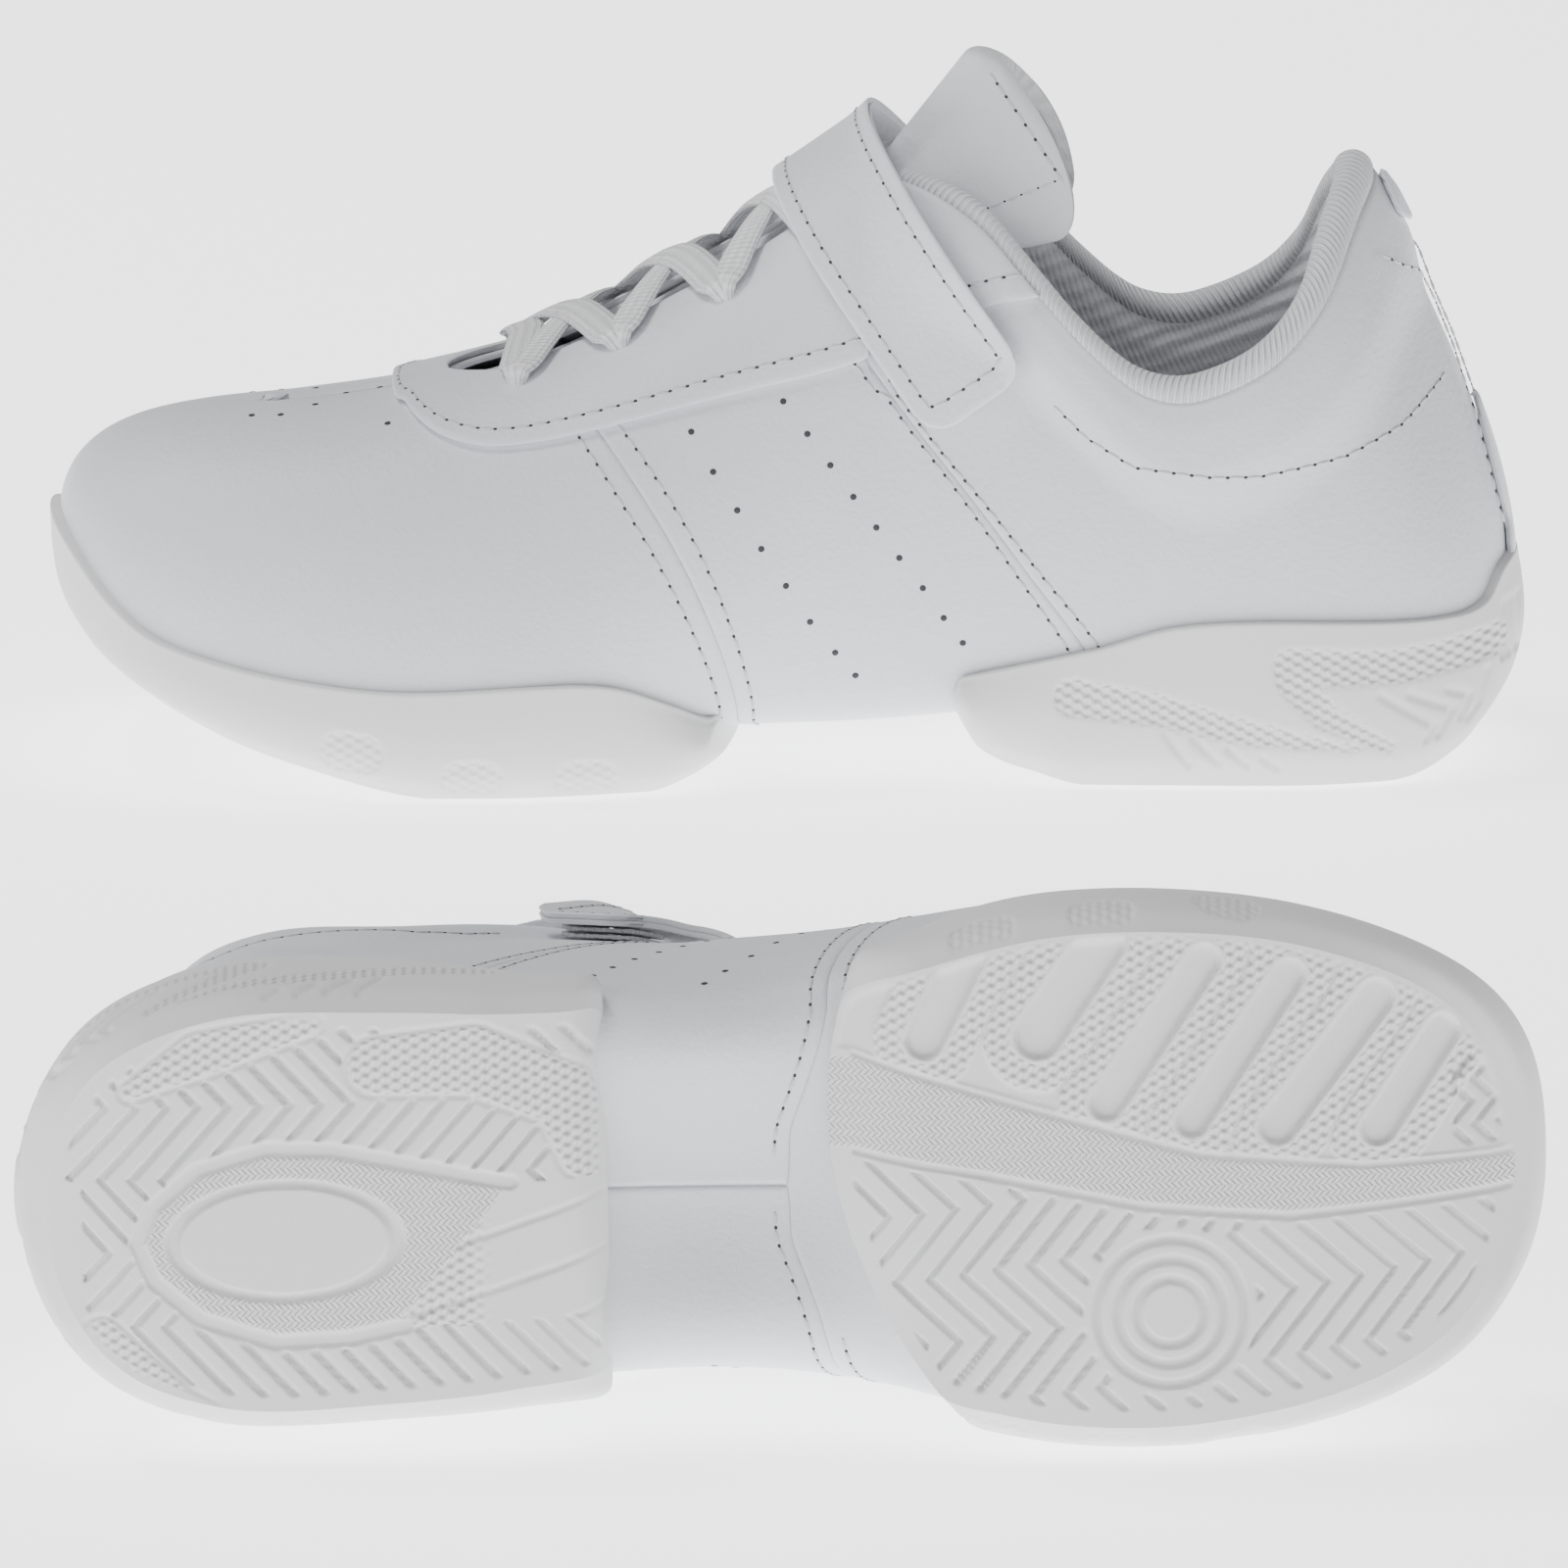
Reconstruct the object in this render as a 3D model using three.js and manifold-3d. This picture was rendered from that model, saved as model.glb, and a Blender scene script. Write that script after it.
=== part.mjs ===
// A pair of split-sole cheer shoes. The left shoe stands, the right one lies on its inner side with its
// sole to the front. Millimetres, +Z up.
// One shoe is modelled in its own frame: x from the back of the heel to the toe, y towards the outer side
// of the foot, z up from the ground. The right shoe is its mirror image.
import * as THREE from "three";
import { mergeVertices } from "three/addons/utils/BufferGeometryUtils.js";
import Module from "manifold-3d";

const wasm = await Module();
wasm.setup();

// ---- Driving dimensions ----
const SHOE_LENGTH = 270;
const BALL_WIDTH = 101;
const SHOE_HEIGHT = 131;
const NET_LENGTH = 270; // the size that the control points below are written for
const NET_WIDTH = 101;
const NET_HEIGHT = 131;
const PAIR_DEPTH = 560; // from the middle of the standing shoe to the sole of the lying one
const LYING_ROLL = 3.9; // degrees that the lying shoe leans back onto its collar
const LYING_PITCH = 1.5; // and that its heel drops

const CLEARANCE = 0.3; // between pieces that touch
const LINING = 1.2;
const STIFFENER = 0.8;
const LEATHER = 1.4;
const OVERLAY = 1.3;
const STRAP = 2.2;
const PATCH = 0.9;
const BOARD = 2;
const INSOLE = 4.3;
const FOAM_OUT = 2.4; // how far the collar foam pushes the leather out
const FOAM_IN = 3.2; // and the lining in
const COLLAR_BAND = 24; // how far down from its edge the collar is padded
const BINDING_HEIGHT = 4.2;
const THROAT_HALF_WIDTH = 10;
const TONGUE_DROP = 1.2; // the tongue lies this far below the lining
const TONGUE_FACE = 1.3;
const TONGUE_PAD = 2.6;
const TONGUE_LINING = 0.8;
const LACE_WIDTH = 7;
const LACE_THICKNESS = 1.5;
const EYELET_RADIUS = 2.1;
const EYELET_MARGIN = 7.5; // from the throat's edge
const RIM_LIP = 1.6; // the sole's lip stands out from the leather by this
const STRAP_WIDTH = 21.8;
const STRAP_CORNER = 6;
const STRAP_LIFT = 2.8; // how much higher the strap lies where it crosses the lace
const LASTING_MARGIN = -0.26; // how far the upper is turned in under the foot

// Layers, as distances out from the inside of the lining.
const STIFFENER_IN = LINING + CLEARANCE;
const LEATHER_IN = STIFFENER_IN + STIFFENER + CLEARANCE;
const LEATHER_OUT = LEATHER_IN + LEATHER;
const OVERLAY_IN = LEATHER_OUT + CLEARANCE;
const OVERLAY_OUT = OVERLAY_IN + OVERLAY;
const PATCH_IN = LEATHER_OUT + CLEARANCE;
const HOOK_IN = PATCH_IN + PATCH + CLEARANCE;
const STRAP_IN = HOOK_IN + PATCH + CLEARANCE;
const CUP = LEATHER_OUT + CLEARANCE;
const LACE_IN = OVERLAY_OUT + 3 * CLEARANCE;

const sx = SHOE_LENGTH / NET_LENGTH;
const sy = BALL_WIDTH / NET_WIDTH;
const sz = SHOE_HEIGHT / NET_HEIGHT;

// ---- Small tools ----
const lerp = (a, b, t) => a + (b - a) * t;
const clamp = (x, a, b) => Math.min(b, Math.max(a, x));
const smooth = (a, b, x) => {
  const t = clamp((x - a) / (b - a), 0, 1);
  return t * t * (3 - 2 * t);
};

// A smooth curve through [x, y] pairs, read at x: a cubic with slopes from its neighbours.
function through(pairs) {
  const slope = (i) => {
    const a = pairs[Math.max(i - 1, 0)];
    const b = pairs[Math.min(i + 1, pairs.length - 1)];
    return (b[1] - a[1]) / (b[0] - a[0]);
  };
  return (x) => {
    const last = pairs.length - 1;
    if (x <= pairs[0][0]) return pairs[0][1];
    if (x >= pairs[last][0]) return pairs[last][1];
    const i = pairs.findIndex((p) => p[0] > x) - 1;
    const [x0, y0] = pairs[i];
    const [x1, y1] = pairs[i + 1];
    const h = x1 - x0;
    const t = (x - x0) / h;
    const t2 = t * t;
    const t3 = t2 * t;
    return (
      (2 * t3 - 3 * t2 + 1) * y0 +
      (t3 - 2 * t2 + t) * h * slope(i) +
      (3 * t2 - 2 * t3) * y1 +
      (t3 - t2) * h * slope(i + 1)
    );
  };
}

function solve(low, high, tooHigh) {
  for (let i = 0; i < 40; i++) {
    const mid = (low + high) / 2;
    if (tooHigh(mid)) high = mid;
    else low = mid;
  }
  return (low + high) / 2;
}

// ---- The last: the surface that the lining lies on ----
// Stations run round the foot from the back of the heel (0) to the tip of the toe (11). Each is a cubic
// curve from the feather edge, where the sole begins, to the crown; rise and fall are its two handles.
const stations = [
  { feather: [6.5, 0, 22], rise: [-3.5, 0, 33], fall: [-21, 0, -45], crown: [44, 0, 130], under: 20.5 },
  { feather: [15, 22, 22], rise: [-3, 6, 31], fall: [-14, -1, -45], crown: [51, 19, 130], under: 21 },
  { feather: [36, 32, 22], rise: [-1, 6, 28], fall: [-8, 1, -40], crown: [62, 26, 130], under: 21 },
  { feather: [66, 32.5, 22], rise: [0, 7, 28], fall: [-4, 3, -36], crown: [80, 24, 131], under: 20.5 },
  { feather: [96, 31, 21.5], rise: [0, 8, 30], fall: [4, 14, -20], crown: [96, 13, 127], under: 20 },
  { feather: [120, 31, 21], rise: [0, 9, 33], fall: [3, 25, 0], crown: [116, 0, 107.5], under: 19.5 },
  { feather: [146, 34, 19], rise: [0, 10, 27], fall: [2, 27, -1], crown: [140, 0, 91.5], under: 16.5 },
  { feather: [184, 43, 13.5], rise: [1, 6, 21], fall: [2, 31, 0], crown: [171, 0, 74], under: 12 },
  { feather: [218, 41.5, 14], rise: [3, 5, 22], fall: [6, 32, 0], crown: [196, 0, 65.5], under: 13 },
  { feather: [245, 31.5, 20.5], rise: [6, 5, 18], fall: [16, 28, 0], crown: [213, 0, 62], under: 19 },
  { feather: [258, 17.5, 29], rise: [8, 4, 16], fall: [30, 15, 0.8], crown: [222, 0, 60.8], under: 26.5 },
  { feather: [261.5, 0, 32], rise: [6, 0, 18], fall: [37, 0, 1], crown: [225, 0, 60.3], under: 29 },
];
const LAST = stations.length - 1;
const INNER_SIDE = through([
  [0, 1], [2, 1.02], [4, 0.97], [6, 0.9], [7, 0.92], [8, 0.94], [9, 0.98], [11, 1],
]);
const ROUNDNESS = through([[0, 0.14], [3, 0.16], [4.5, 0.4], [6, 0.4], [7, 0.16], [11, 0.14]]);
const UNDER_SHIFT = through([[0, 9], [1, 6], [2, 2], [3, 0], [8, 0], [9, -3], [10, -7], [11, -10]]);

const scaled = (p) => [p[0] * sx, p[1] * sy, p[2] * sz];
const control = stations.map((s) => ({
  feather: scaled(s.feather),
  rise: scaled(s.rise),
  fall: scaled(s.fall),
  crown: scaled(s.crown),
  under: [s.under * sz],
}));

// The control value of one kind at a place k between stations, by a Catmull-Rom curve. Past either end
// the foot goes on round its other side, so y changes sign there.
function controlAt(kind, k) {
  const i = clamp(Math.floor(k), 0, LAST - 1);
  const t = k - i;
  const at = (j) => {
    if (j >= 0 && j <= LAST) return control[j][kind];
    const other = control[j < 0 ? -j : 2 * LAST - j][kind];
    return other.length === 1 ? other : [other[0], -other[1], other[2]];
  };
  const [a, b, c, d] = [at(i - 1), at(i), at(i + 1), at(i + 2)];
  return b.map(
    (_, n) =>
      0.5 *
      (2 * b[n] +
        (c[n] - a[n]) * t +
        (2 * a[n] - 5 * b[n] + 4 * c[n] - d[n]) * t * t +
        (3 * b[n] - a[n] - 3 * c[n] + d[n]) * t * t * t),
  );
}

const bezier = (p0, p1, p2, p3, t) => {
  const s = 1 - t;
  const [a, b, c, d] = [s * s * s, 3 * s * s * t, 3 * s * t * t, t * t * t];
  return p0.map((_, n) => a * p0[n] + b * p1[n] + c * p2[n] + d * p3[n]);
};

// A point of the last. v is 0 at the feather edge, 1 at the crown and -1 in the middle underneath. side is
// 1 on the outer side of the foot and -1 on the inner.
function lastPoint(k, v, side) {
  const o = controlAt("feather", k);
  const rise = controlAt("rise", k);
  let p;
  if (v >= 0) {
    const top = controlAt("crown", k);
    const fall = controlAt("fall", k);
    top[1] = Math.max(top[1], 0);
    p = bezier(o, o.map((c, n) => c + rise[n]), top.map((c, n) => c + fall[n]), top, Math.min(v, 1));
    if (v > 1) p = top.map((c, n) => c - 3 * fall[n] * (v - 1));
  } else {
    const round = ROUNDNESS(k);
    const under = controlAt("under", k)[0];
    const tucked = [o[0] - rise[0] * round, o[1] - rise[1] * round, o[2] - rise[2] * round];
    const middle = o[0] + UNDER_SHIFT(k) * sx;
    p = bezier(o, tucked, [middle, o[1] * 0.55, under], [middle, 0, under], -v);
  }
  const narrow = side > 0 ? 1 : INNER_SIDE(k);
  return new THREE.Vector3(p[0], Math.max(p[1], 0) * narrow * side, p[2]);
}

function lastNormal(k, v, side) {
  const h = 0.004;
  const k0 = clamp(k, 0.02, LAST - 0.02);
  const v0 = clamp(v, -0.985, 1.6);
  const dk = lastPoint(k0 + h, v0, side).sub(lastPoint(k0 - h, v0, side));
  const dv = lastPoint(k0, v0 + h, side).sub(lastPoint(k0, v0 - h, side));
  const n = dv.cross(dk).multiplyScalar(side);
  if (v < -0.5 && (k < 0.02 || k > LAST - 0.02)) n.set(0, 0, -1);
  if (k < 0.02 || k > LAST - 0.02 || v < -0.985) n.y = 0;
  if (v > 0.985 && v <= 1 && k > 4.9) n.y = 0;
  return n.normalize();
}

// ---- Edges of the upper's panels ----
const COLLAR_FRONT = 5.6; // station where the collar's edge meets the throat
const THROAT_FRONT = 7.95;
const collarHeight = through([
  [0, 106], [0.5, 101.5], [1, 93.5], [1.5, 85], [2, 77.5], [2.5, 72.5], [2.75, 72], [3, 74.5], [3.3, 82],
  [3.6, 91], [4, 101.5], [4.4, 106], [5, 106.5], [6, 107],
]);
const throatHalf = (k) => THROAT_HALF_WIDTH * sy * Math.sqrt(clamp((THROAT_FRONT - k) / 0.45, 0, 1));
const edgeCache = new Map();
// v of the upper's free edge at station k: the collar, then the side of the throat, then the crown.
function topEdge(k, side) {
  const key = k.toFixed(5) + side;
  if (!edgeCache.has(key)) {
    const collar = k > COLLAR_FRONT ? 1 : solve(0, 1, (v) => lastPoint(k, v, side).z > collarHeight(k) * sz);
    const throat = k < 3.6 ? 1 : solve(0.3, 1, (v) => Math.abs(lastPoint(k, v, side).y) < throatHalf(k));
    edgeCache.set(key, k >= THROAT_FRONT ? 1 : Math.min(collar, throat));
  }
  return edgeCache.get(key);
}

// How much the padded collar swells at this place, from 0 to 1.
function padding(k, v, side) {
  if (k > 5.2 || v < 0) return 0;
  const down = lastPoint(k, topEdge(k, side), side).z - lastPoint(k, v, side).z;
  const along = 1 - smooth(4.0, 4.9, k);
  return along * smooth(COLLAR_BAND * sz, COLLAR_BAND * sz * 0.45, down) * (0.55 + 0.45 * smooth(-1, 6, down));
}
const swell = (depth) => (k, v, side) => depth + FOAM_OUT * padding(k, v, side);
const inswell = (depth) => (k, v, side) => depth - FOAM_IN * padding(k, v, side);

// ---- Solids ----
// A grid of places on a surface: place(i, j) gives what where and facing read, for a point and its normal.
function sheet(columns, rows, place, where = lastPoint, facing = lastNormal) {
  const points = columns.flatMap((a) => rows.map((b) => {
    const at = place(a, b);
    return { p: where(...at), n: facing(...at), at };
  }));
  const cells = [];
  for (let i = 0; i + 1 < columns.length; i++)
    for (let j = 0; j + 1 < rows.length; j++) {
      const a = i * rows.length + j;
      const b = a + rows.length;
      cells.push([a, b, b + 1], [a, b + 1, a + 1]);
    }
  return { points, cells };
}

// Sheets become one mesh, joined where their points meet.
function joined(sheets) {
  const seen = new Map();
  const points = [];
  const faces = [];
  for (const s of sheets) {
    const index = s.points.map((q) => {
      const key = [q.p.x, q.p.y, q.p.z].map((c) => Math.round(c * 500)).join();
      if (!seen.has(key)) {
        seen.set(key, points.length);
        points.push({ p: q.p.clone(), n: new THREE.Vector3(), at: q.at });
      }
      points[seen.get(key)].n.add(q.n);
      return seen.get(key);
    });
    const facing = ([a, b, c]) => {
      const [p, q, r] = [a, b, c].map((i) => s.points[i].p);
      const out = s.points[a].n.clone().add(s.points[b].n).add(s.points[c].n);
      return q.clone().sub(p).cross(r.clone().sub(p)).dot(out);
    };
    const turned = s.cells.reduce((sum, cell) => sum + facing(cell), 0) < 0;
    for (const [a, b, c] of s.cells) {
      const [ia, ib, ic] = [index[a], index[b], index[c]];
      if (ia !== ib && ib !== ic && ia !== ic) faces.push(turned ? [ia, ic, ib] : [ia, ib, ic]);
    }
  }
  for (const q of points) q.n.normalize();
  return { points, faces };
}

const moved = (points, depth) => points.flatMap((q) => {
  const d = typeof depth === "function" ? depth(...q.at) : depth;
  return q.p.clone().addScaledVector(q.n, d).toArray();
});

function solid(position, triangles) {
  const mesh = new THREE.BufferGeometry()
    .setAttribute("position", new THREE.Float32BufferAttribute(position, 3))
    .setIndex(triangles);
  const merged = mergeVertices(mesh, 1e-4);
  return new wasm.Manifold(
    new wasm.Mesh({
      numProp: 3,
      vertProperties: new Float32Array(merged.attributes.position.array),
      triVerts: new Uint32Array(merged.index.array),
    }),
  );
}

// A surface given a thickness, from inner to outer along its normals, with walls round its edges.
function thicken(sheets, inner, outer) {
  const { points, faces } = joined(sheets);
  const n = points.length;
  const triangles = [];
  const edges = new Map();
  for (const [a, b, c] of faces) {
    triangles.push(a, b, c, n + a, n + c, n + b);
    for (const [p, q] of [[a, b], [b, c], [c, a]]) {
      if (edges.has(q + "," + p)) edges.delete(q + "," + p);
      else edges.set(p + "," + q, [p, q]);
    }
  }
  for (const [p, q] of edges.values()) triangles.push(q, p, n + p, q, n + p, n + q);
  return solid([...moved(points, outer), ...moved(points, inner)], triangles);
}

// Rings of points become one closed solid with a flat cap at each end.
function loft(rings) {
  const n = rings[0].length;
  const position = rings.flat().flatMap((p) => p.toArray());
  const triangles = [];
  for (let i = 0; i + 1 < rings.length; i++)
    for (let j = 0; j < n; j++) {
      const a = i * n + j;
      const b = i * n + ((j + 1) % n);
      triangles.push(a, b, b + n, a, b + n, a + n);
    }
  const end = (rings.length - 1) * n;
  for (let j = 1; j + 1 < n; j++) triangles.push(0, j + 1, j, end, end + j, end + j + 1);
  return solid(position, triangles);
}

// A flat shape in the side view, [x, z] points in order, as a block across the shoe from y0 to y1.
function sideBlock(outline, y0 = -200, y1 = 200) {
  const shape = new THREE.Shape(outline.map(([x, z]) => new THREE.Vector2(x, z)));
  const block = new THREE.ExtrudeGeometry(shape, { depth: y1 - y0, bevelEnabled: false });
  block.rotateX(Math.PI / 2).translate(0, y1, 0);
  const p = block.attributes.position.array;
  return solid(Array.from(p), Array.from({ length: p.length / 3 }, (_, i) => i));
}

// All that lies between two seam surfaces, each giving x at (y, z).
function between(from, to) {
  const levels = [-60, 5, 12, 16, 20, 25, 32, 40, 50, 60, 70, 80, 95, 170];
  const widths = [-90, -30, -15, 0, 15, 30, 90];
  const grid = (x) => levels.map((z) => widths.map((y) => new THREE.Vector3(x(y, z), y, z)));
  const [a, b] = [grid(from), grid(to)];
  const [rows, n] = [levels.length, widths.length];
  const position = [...a.flat(), ...b.flat()].flatMap((p) => p.toArray());
  const at = (half, i, j) => half * rows * n + i * n + j;
  const triangles = [];
  const quad = (p, q, r, s) => triangles.push(p, q, r, p, r, s);
  for (let i = 0; i + 1 < rows; i++)
    for (let j = 0; j + 1 < n; j++) {
      quad(at(0, i, j), at(0, i + 1, j), at(0, i + 1, j + 1), at(0, i, j + 1));
      quad(at(1, i, j), at(1, i, j + 1), at(1, i + 1, j + 1), at(1, i + 1, j));
    }
  for (let j = 0; j + 1 < n; j++) {
    quad(at(0, 0, j), at(0, 0, j + 1), at(1, 0, j + 1), at(1, 0, j));
    quad(at(0, rows - 1, j), at(1, rows - 1, j), at(1, rows - 1, j + 1), at(0, rows - 1, j + 1));
  }
  for (let i = 0; i + 1 < rows; i++) {
    quad(at(0, i, 0), at(1, i, 0), at(1, i + 1, 0), at(0, i + 1, 0));
    quad(at(0, i, n - 1), at(0, i + 1, n - 1), at(1, i + 1, n - 1), at(1, i, n - 1));
  }
  return solid(position, triangles);
}

// ---- The net that every layer shares, so that layers lie evenly on each other ----
const NET = [0, 0.45, 1.05, 1.7, 2.3, 2.85, 3.4, 4, 4.7, 5.4, 6.2, 7, 7.6, 7.95, 8.7, 9.5, 10.3, 11];
const RISE = [0, 0.15, 0.34, 0.54, 0.74, 0.89, 1];
const columns = (from, to) => NET.filter((k) => k >= from && k <= to);
const onUpper = (side) => (k, t) => [k, t < 0 ? t : t * topEdge(k, side), side];
const bothSides = (ks, rows, place = onUpper) => [1, -1].map((side) => sheet(ks, rows, place(side)));

// ---- Seams, in the side view: x at each height ----
const ARCH_POINT = 12; // the front seam's point under the arch
const frontLine = through([
  [8, 143], [17.5, 144.5], [30, 148.5], [45, 155.5], [58, 164], [66, 171], [80, 186], [100, 210],
]);
const rearLine = through([
  [8, 72], [25, 79], [40, 90], [55, 101.5], [66, 110.5], [78, 120], [95, 133], [115, 146],
]);
const frontSeam = (y, z) => {
  const under = smooth(21, 16, z / sz) * Math.max(0, 1 - Math.abs(y) / (30 * sy));
  return sx * (frontLine(z / sz) - ARCH_POINT * under);
};
const rearSeam = (y, z) => sx * rearLine(z / sz);
const HALF_SEAM = CLEARANCE / 2;
const frontPart = between((y, z) => frontSeam(y, z) + HALF_SEAM, () => 500);
const middlePart = between((y, z) => rearSeam(y, z) + HALF_SEAM, (y, z) => frontSeam(y, z) - HALF_SEAM);
const rearPart = between(() => -200, (y, z) => rearSeam(y, z) - HALF_SEAM);
const wholeSide = [[-200, -200], [500, -200], [500, 300], [-200, 300]];
const outerHalf = sideBlock(wholeSide, HALF_SEAM, 200);
const innerHalf = sideBlock(wholeSide, -200, -HALF_SEAM);

// ---- The upper ----
const UNDER_ROWS = [-1, -0.6];
const leather = (sheets) => thicken(sheets, swell(LEATHER_IN), swell(LEATHER_OUT));
const leatherShell = leather(bothSides(NET, [LASTING_MARGIN, ...RISE]));
const archShell = leather(bothSides(columns(2.8, 8.8), [...UNDER_ROWS, LASTING_MARGIN, ...RISE]));
const liningShell = thicken(bothSides(NET, RISE), inswell(0), inswell(LINING));
const TOE_PUFF_BACK = 9.5;
const COUNTER_FRONT = 2.5;
const stiffener = (sheets) => thicken(sheets, STIFFENER_IN, STIFFENER_IN + STIFFENER);
const toePuff = stiffener(bothSides(columns(TOE_PUFF_BACK, LAST), RISE.slice(0, 5)));
const heelCounter = stiffener(bothSides(columns(0, COUNTER_FRONT), RISE.slice(0, 3)));
const FOAM_FRONT = 4;
const collarFoam = thicken(
  bothSides(columns(0, FOAM_FRONT), RISE.slice(3)),
  inswell(LINING + CLEARANCE),
  swell(LEATHER_IN - CLEARANCE),
);

const BINDING_FRONT = 4.7;
const BINDING_SEAT = 0.9;
const aboveEdge = (side) => (k, height) => {
  const top = topEdge(k, side);
  const rate = lastPoint(k, top + 0.02, side).distanceTo(lastPoint(k, top, side)) / 0.02;
  return [k, top + height / rate, side];
};
const collarBinding = thicken(
  bothSides(columns(0, BINDING_FRONT), [BINDING_SEAT, BINDING_SEAT + BINDING_HEIGHT], aboveEdge),
  (k) => -lerp(2, 0.3, smooth(3.6, 4.5, k)),
  LEATHER_OUT + 0.5 * FOAM_OUT + 0.4,
);

const backstayOutline = [
  [-50, 38.6], [5.8, 38.6], [6, 43], [11, 62], [15.5, 75], [21.5, 90], [29, 98], [34, 112], [34, 130],
  [-50, 130],
];
const scaledOutline = (points) => points.map(([x, z]) => [x * sx, z * sz]);
const backstay = thicken(bothSides(columns(0, 1.7), RISE.slice(1)), swell(OVERLAY_IN), swell(OVERLAY_OUT))
  .intersect(sideBlock(scaledOutline(backstayOutline)));

const eyestayOutline = [
  [84, 91], [99, 87.5], [122, 77], [148, 69], [171, 62], [186, 59], [196, 59.5], [203, 62.5], [207, 67],
  [208, 90], [150, 160], [84, 160],
];
const eyestayShell = thicken(bothSides(columns(2.8, 8.8), RISE.slice(2)), swell(OVERLAY_IN), swell(OVERLAY_OUT))
  .intersect(sideBlock(scaledOutline(eyestayOutline)));

// ---- Soles ----
// All that the closed upper fills, up to well above the soles' rims, with room to spare.
function footBlock(spare) {
  const lid = (k, y) => {
    const [a, b] = [1, -1].map((side) => lastPoint(k, 0.74 * topEdge(k, side), side));
    return b.lerp(a, y);
  };
  const faint = () => new THREE.Vector3(0, 0, 1e-3); // so that the walls alone set which way the lid's edge moves
  const walls = bothSides(NET, [...UNDER_ROWS, LASTING_MARGIN, ...RISE.slice(0, 5)]);
  const { points, faces } = joined([...walls, sheet(NET, [0, 1], (k, y) => [k, y], lid, faint)]);
  return solid(moved(points, spare), faces.flat());
}

// A sole unit before the foot is cut out of it: rings of rim, belly, edge and tread points at each station.
function soleBlock(ks, rim, tread) {
  const half = (k, nearSide) => {
    const side = k === 0 || k === LAST ? 1 : nearSide;
    const out = (v) => lastPoint(k, v, side).addScaledVector(lastNormal(k, v, side), CUP + RIM_LIP);
    const top = out(solve(-0.1, 0.7, (v) => out(v).z > rim(out(v).x / sx) * sz));
    const foot = lastPoint(k, 0.02, side);
    const away = lastNormal(k, 0.02, side).setZ(0).normalize();
    const ring = (distance) => foot.clone().addScaledVector(away, CUP + distance);
    const floor = ring(-2.4);
    floor.z = Math.max(tread(floor.x / sx), 0) * sz;
    const [edge, belly] = [ring(1.1), ring(2.7)];
    edge.z = lerp(floor.z, top.z, 0.2);
    belly.z = lerp(floor.z, top.z, 0.55);
    return [top, belly, edge, floor];
  };
  const wall = (side) => {
    const rings = ks.map((k) => half(k, side));
    const away = (i) => {
      const n = lastNormal(ks[i], 0.02, side);
      return n.setZ(0).normalize();
    };
    const place = (i, j) => [i, j];
    return sheet(ks.map((_, i) => i), [0, 1, 2, 3], place, (i, j) => rings[i][j].clone(), away);
  };
  const flat = (j, up) => {
    const rows = ks.map((k) => [half(k, 1)[j], half(k, -1)[j]]);
    const place = (i, y) => [i, y];
    const facing = () => new THREE.Vector3(0, 0, up);
    return sheet(ks.map((_, i) => i), [0, 1], place, (i, y) => rows[i][y].clone(), facing);
  };
  const open = ks[0] === 0 ? ks.length - 1 : 0;
  const ends = [half(ks[open], 1), half(ks[open], -1)];
  const end = sheet([0, 1], [0, 1, 2, 3], (y, j) => [y, j], (y, j) => ends[y][j].clone(),
    () => new THREE.Vector3(open ? 1 : -1, 0, 0));
  const { points, faces } = joined([wall(1), wall(-1), flat(0, 1), flat(3, -1), end]);
  return solid(moved(points, 0), faces.flat());
}

const foot = footBlock(CUP);
const TOE_UNIT = [5.6, 6.2, 6.6, 7, 7.4, 7.95, 8.7, 9.5, 10, 10.5, 11];
const HEEL_UNIT = [0, 0.45, 1.05, 1.7, 2.85, 3.4, 4, 4.45];
const toeRim = through([
  [140, 12], [148, 13], [155.6, 16.7], [165, 20.5], [175, 21.6], [203, 20.5], [217, 21.2], [236, 23.9],
  [251, 28], [259, 33.7], [265, 40.4], [270, 46],
]);
const toeTread = through([
  [140, 10], [143, 8], [152, 2.6], [160, 0], [200, 0], [222, 5], [239, 10.5], [257, 20], [266, 29],
]);
const heelRim = through([
  [0, 37.7], [3, 36], [6, 31.6], [12, 30.4], [46, 31.6], [64, 30.4], [78, 26.3], [104, 20.2],
]);
const heelTread = through([
  [0, 20], [6, 9], [15, 2.5], [24, 0], [80, 0], [88, 2], [99, 6.5], [104, 14],
]);
const toeUnitBack = (y, z) => sx * (152 + 0.0075 * (y / sy - 14) ** 2 - 9 * smooth(0, 9, z / sz));
const heelUnitFront = () => 104 * sx;
const forefootSole = soleBlock(TOE_UNIT, toeRim, toeTread)
  .subtract(foot)
  .intersect(between(toeUnitBack, () => 500));
const heelSole = soleBlock(HEEL_UNIT, heelRim, heelTread)
  .subtract(foot)
  .intersect(between(() => -200, heelUnitFront));

const underRows = [...UNDER_ROWS, LASTING_MARGIN];
const lastingBoard = thicken(bothSides(NET, underRows), CLEARANCE, CLEARANCE + BOARD);
const insole = thicken(bothSides(NET.slice(1, -1), underRows), -INSOLE, 0);

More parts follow.
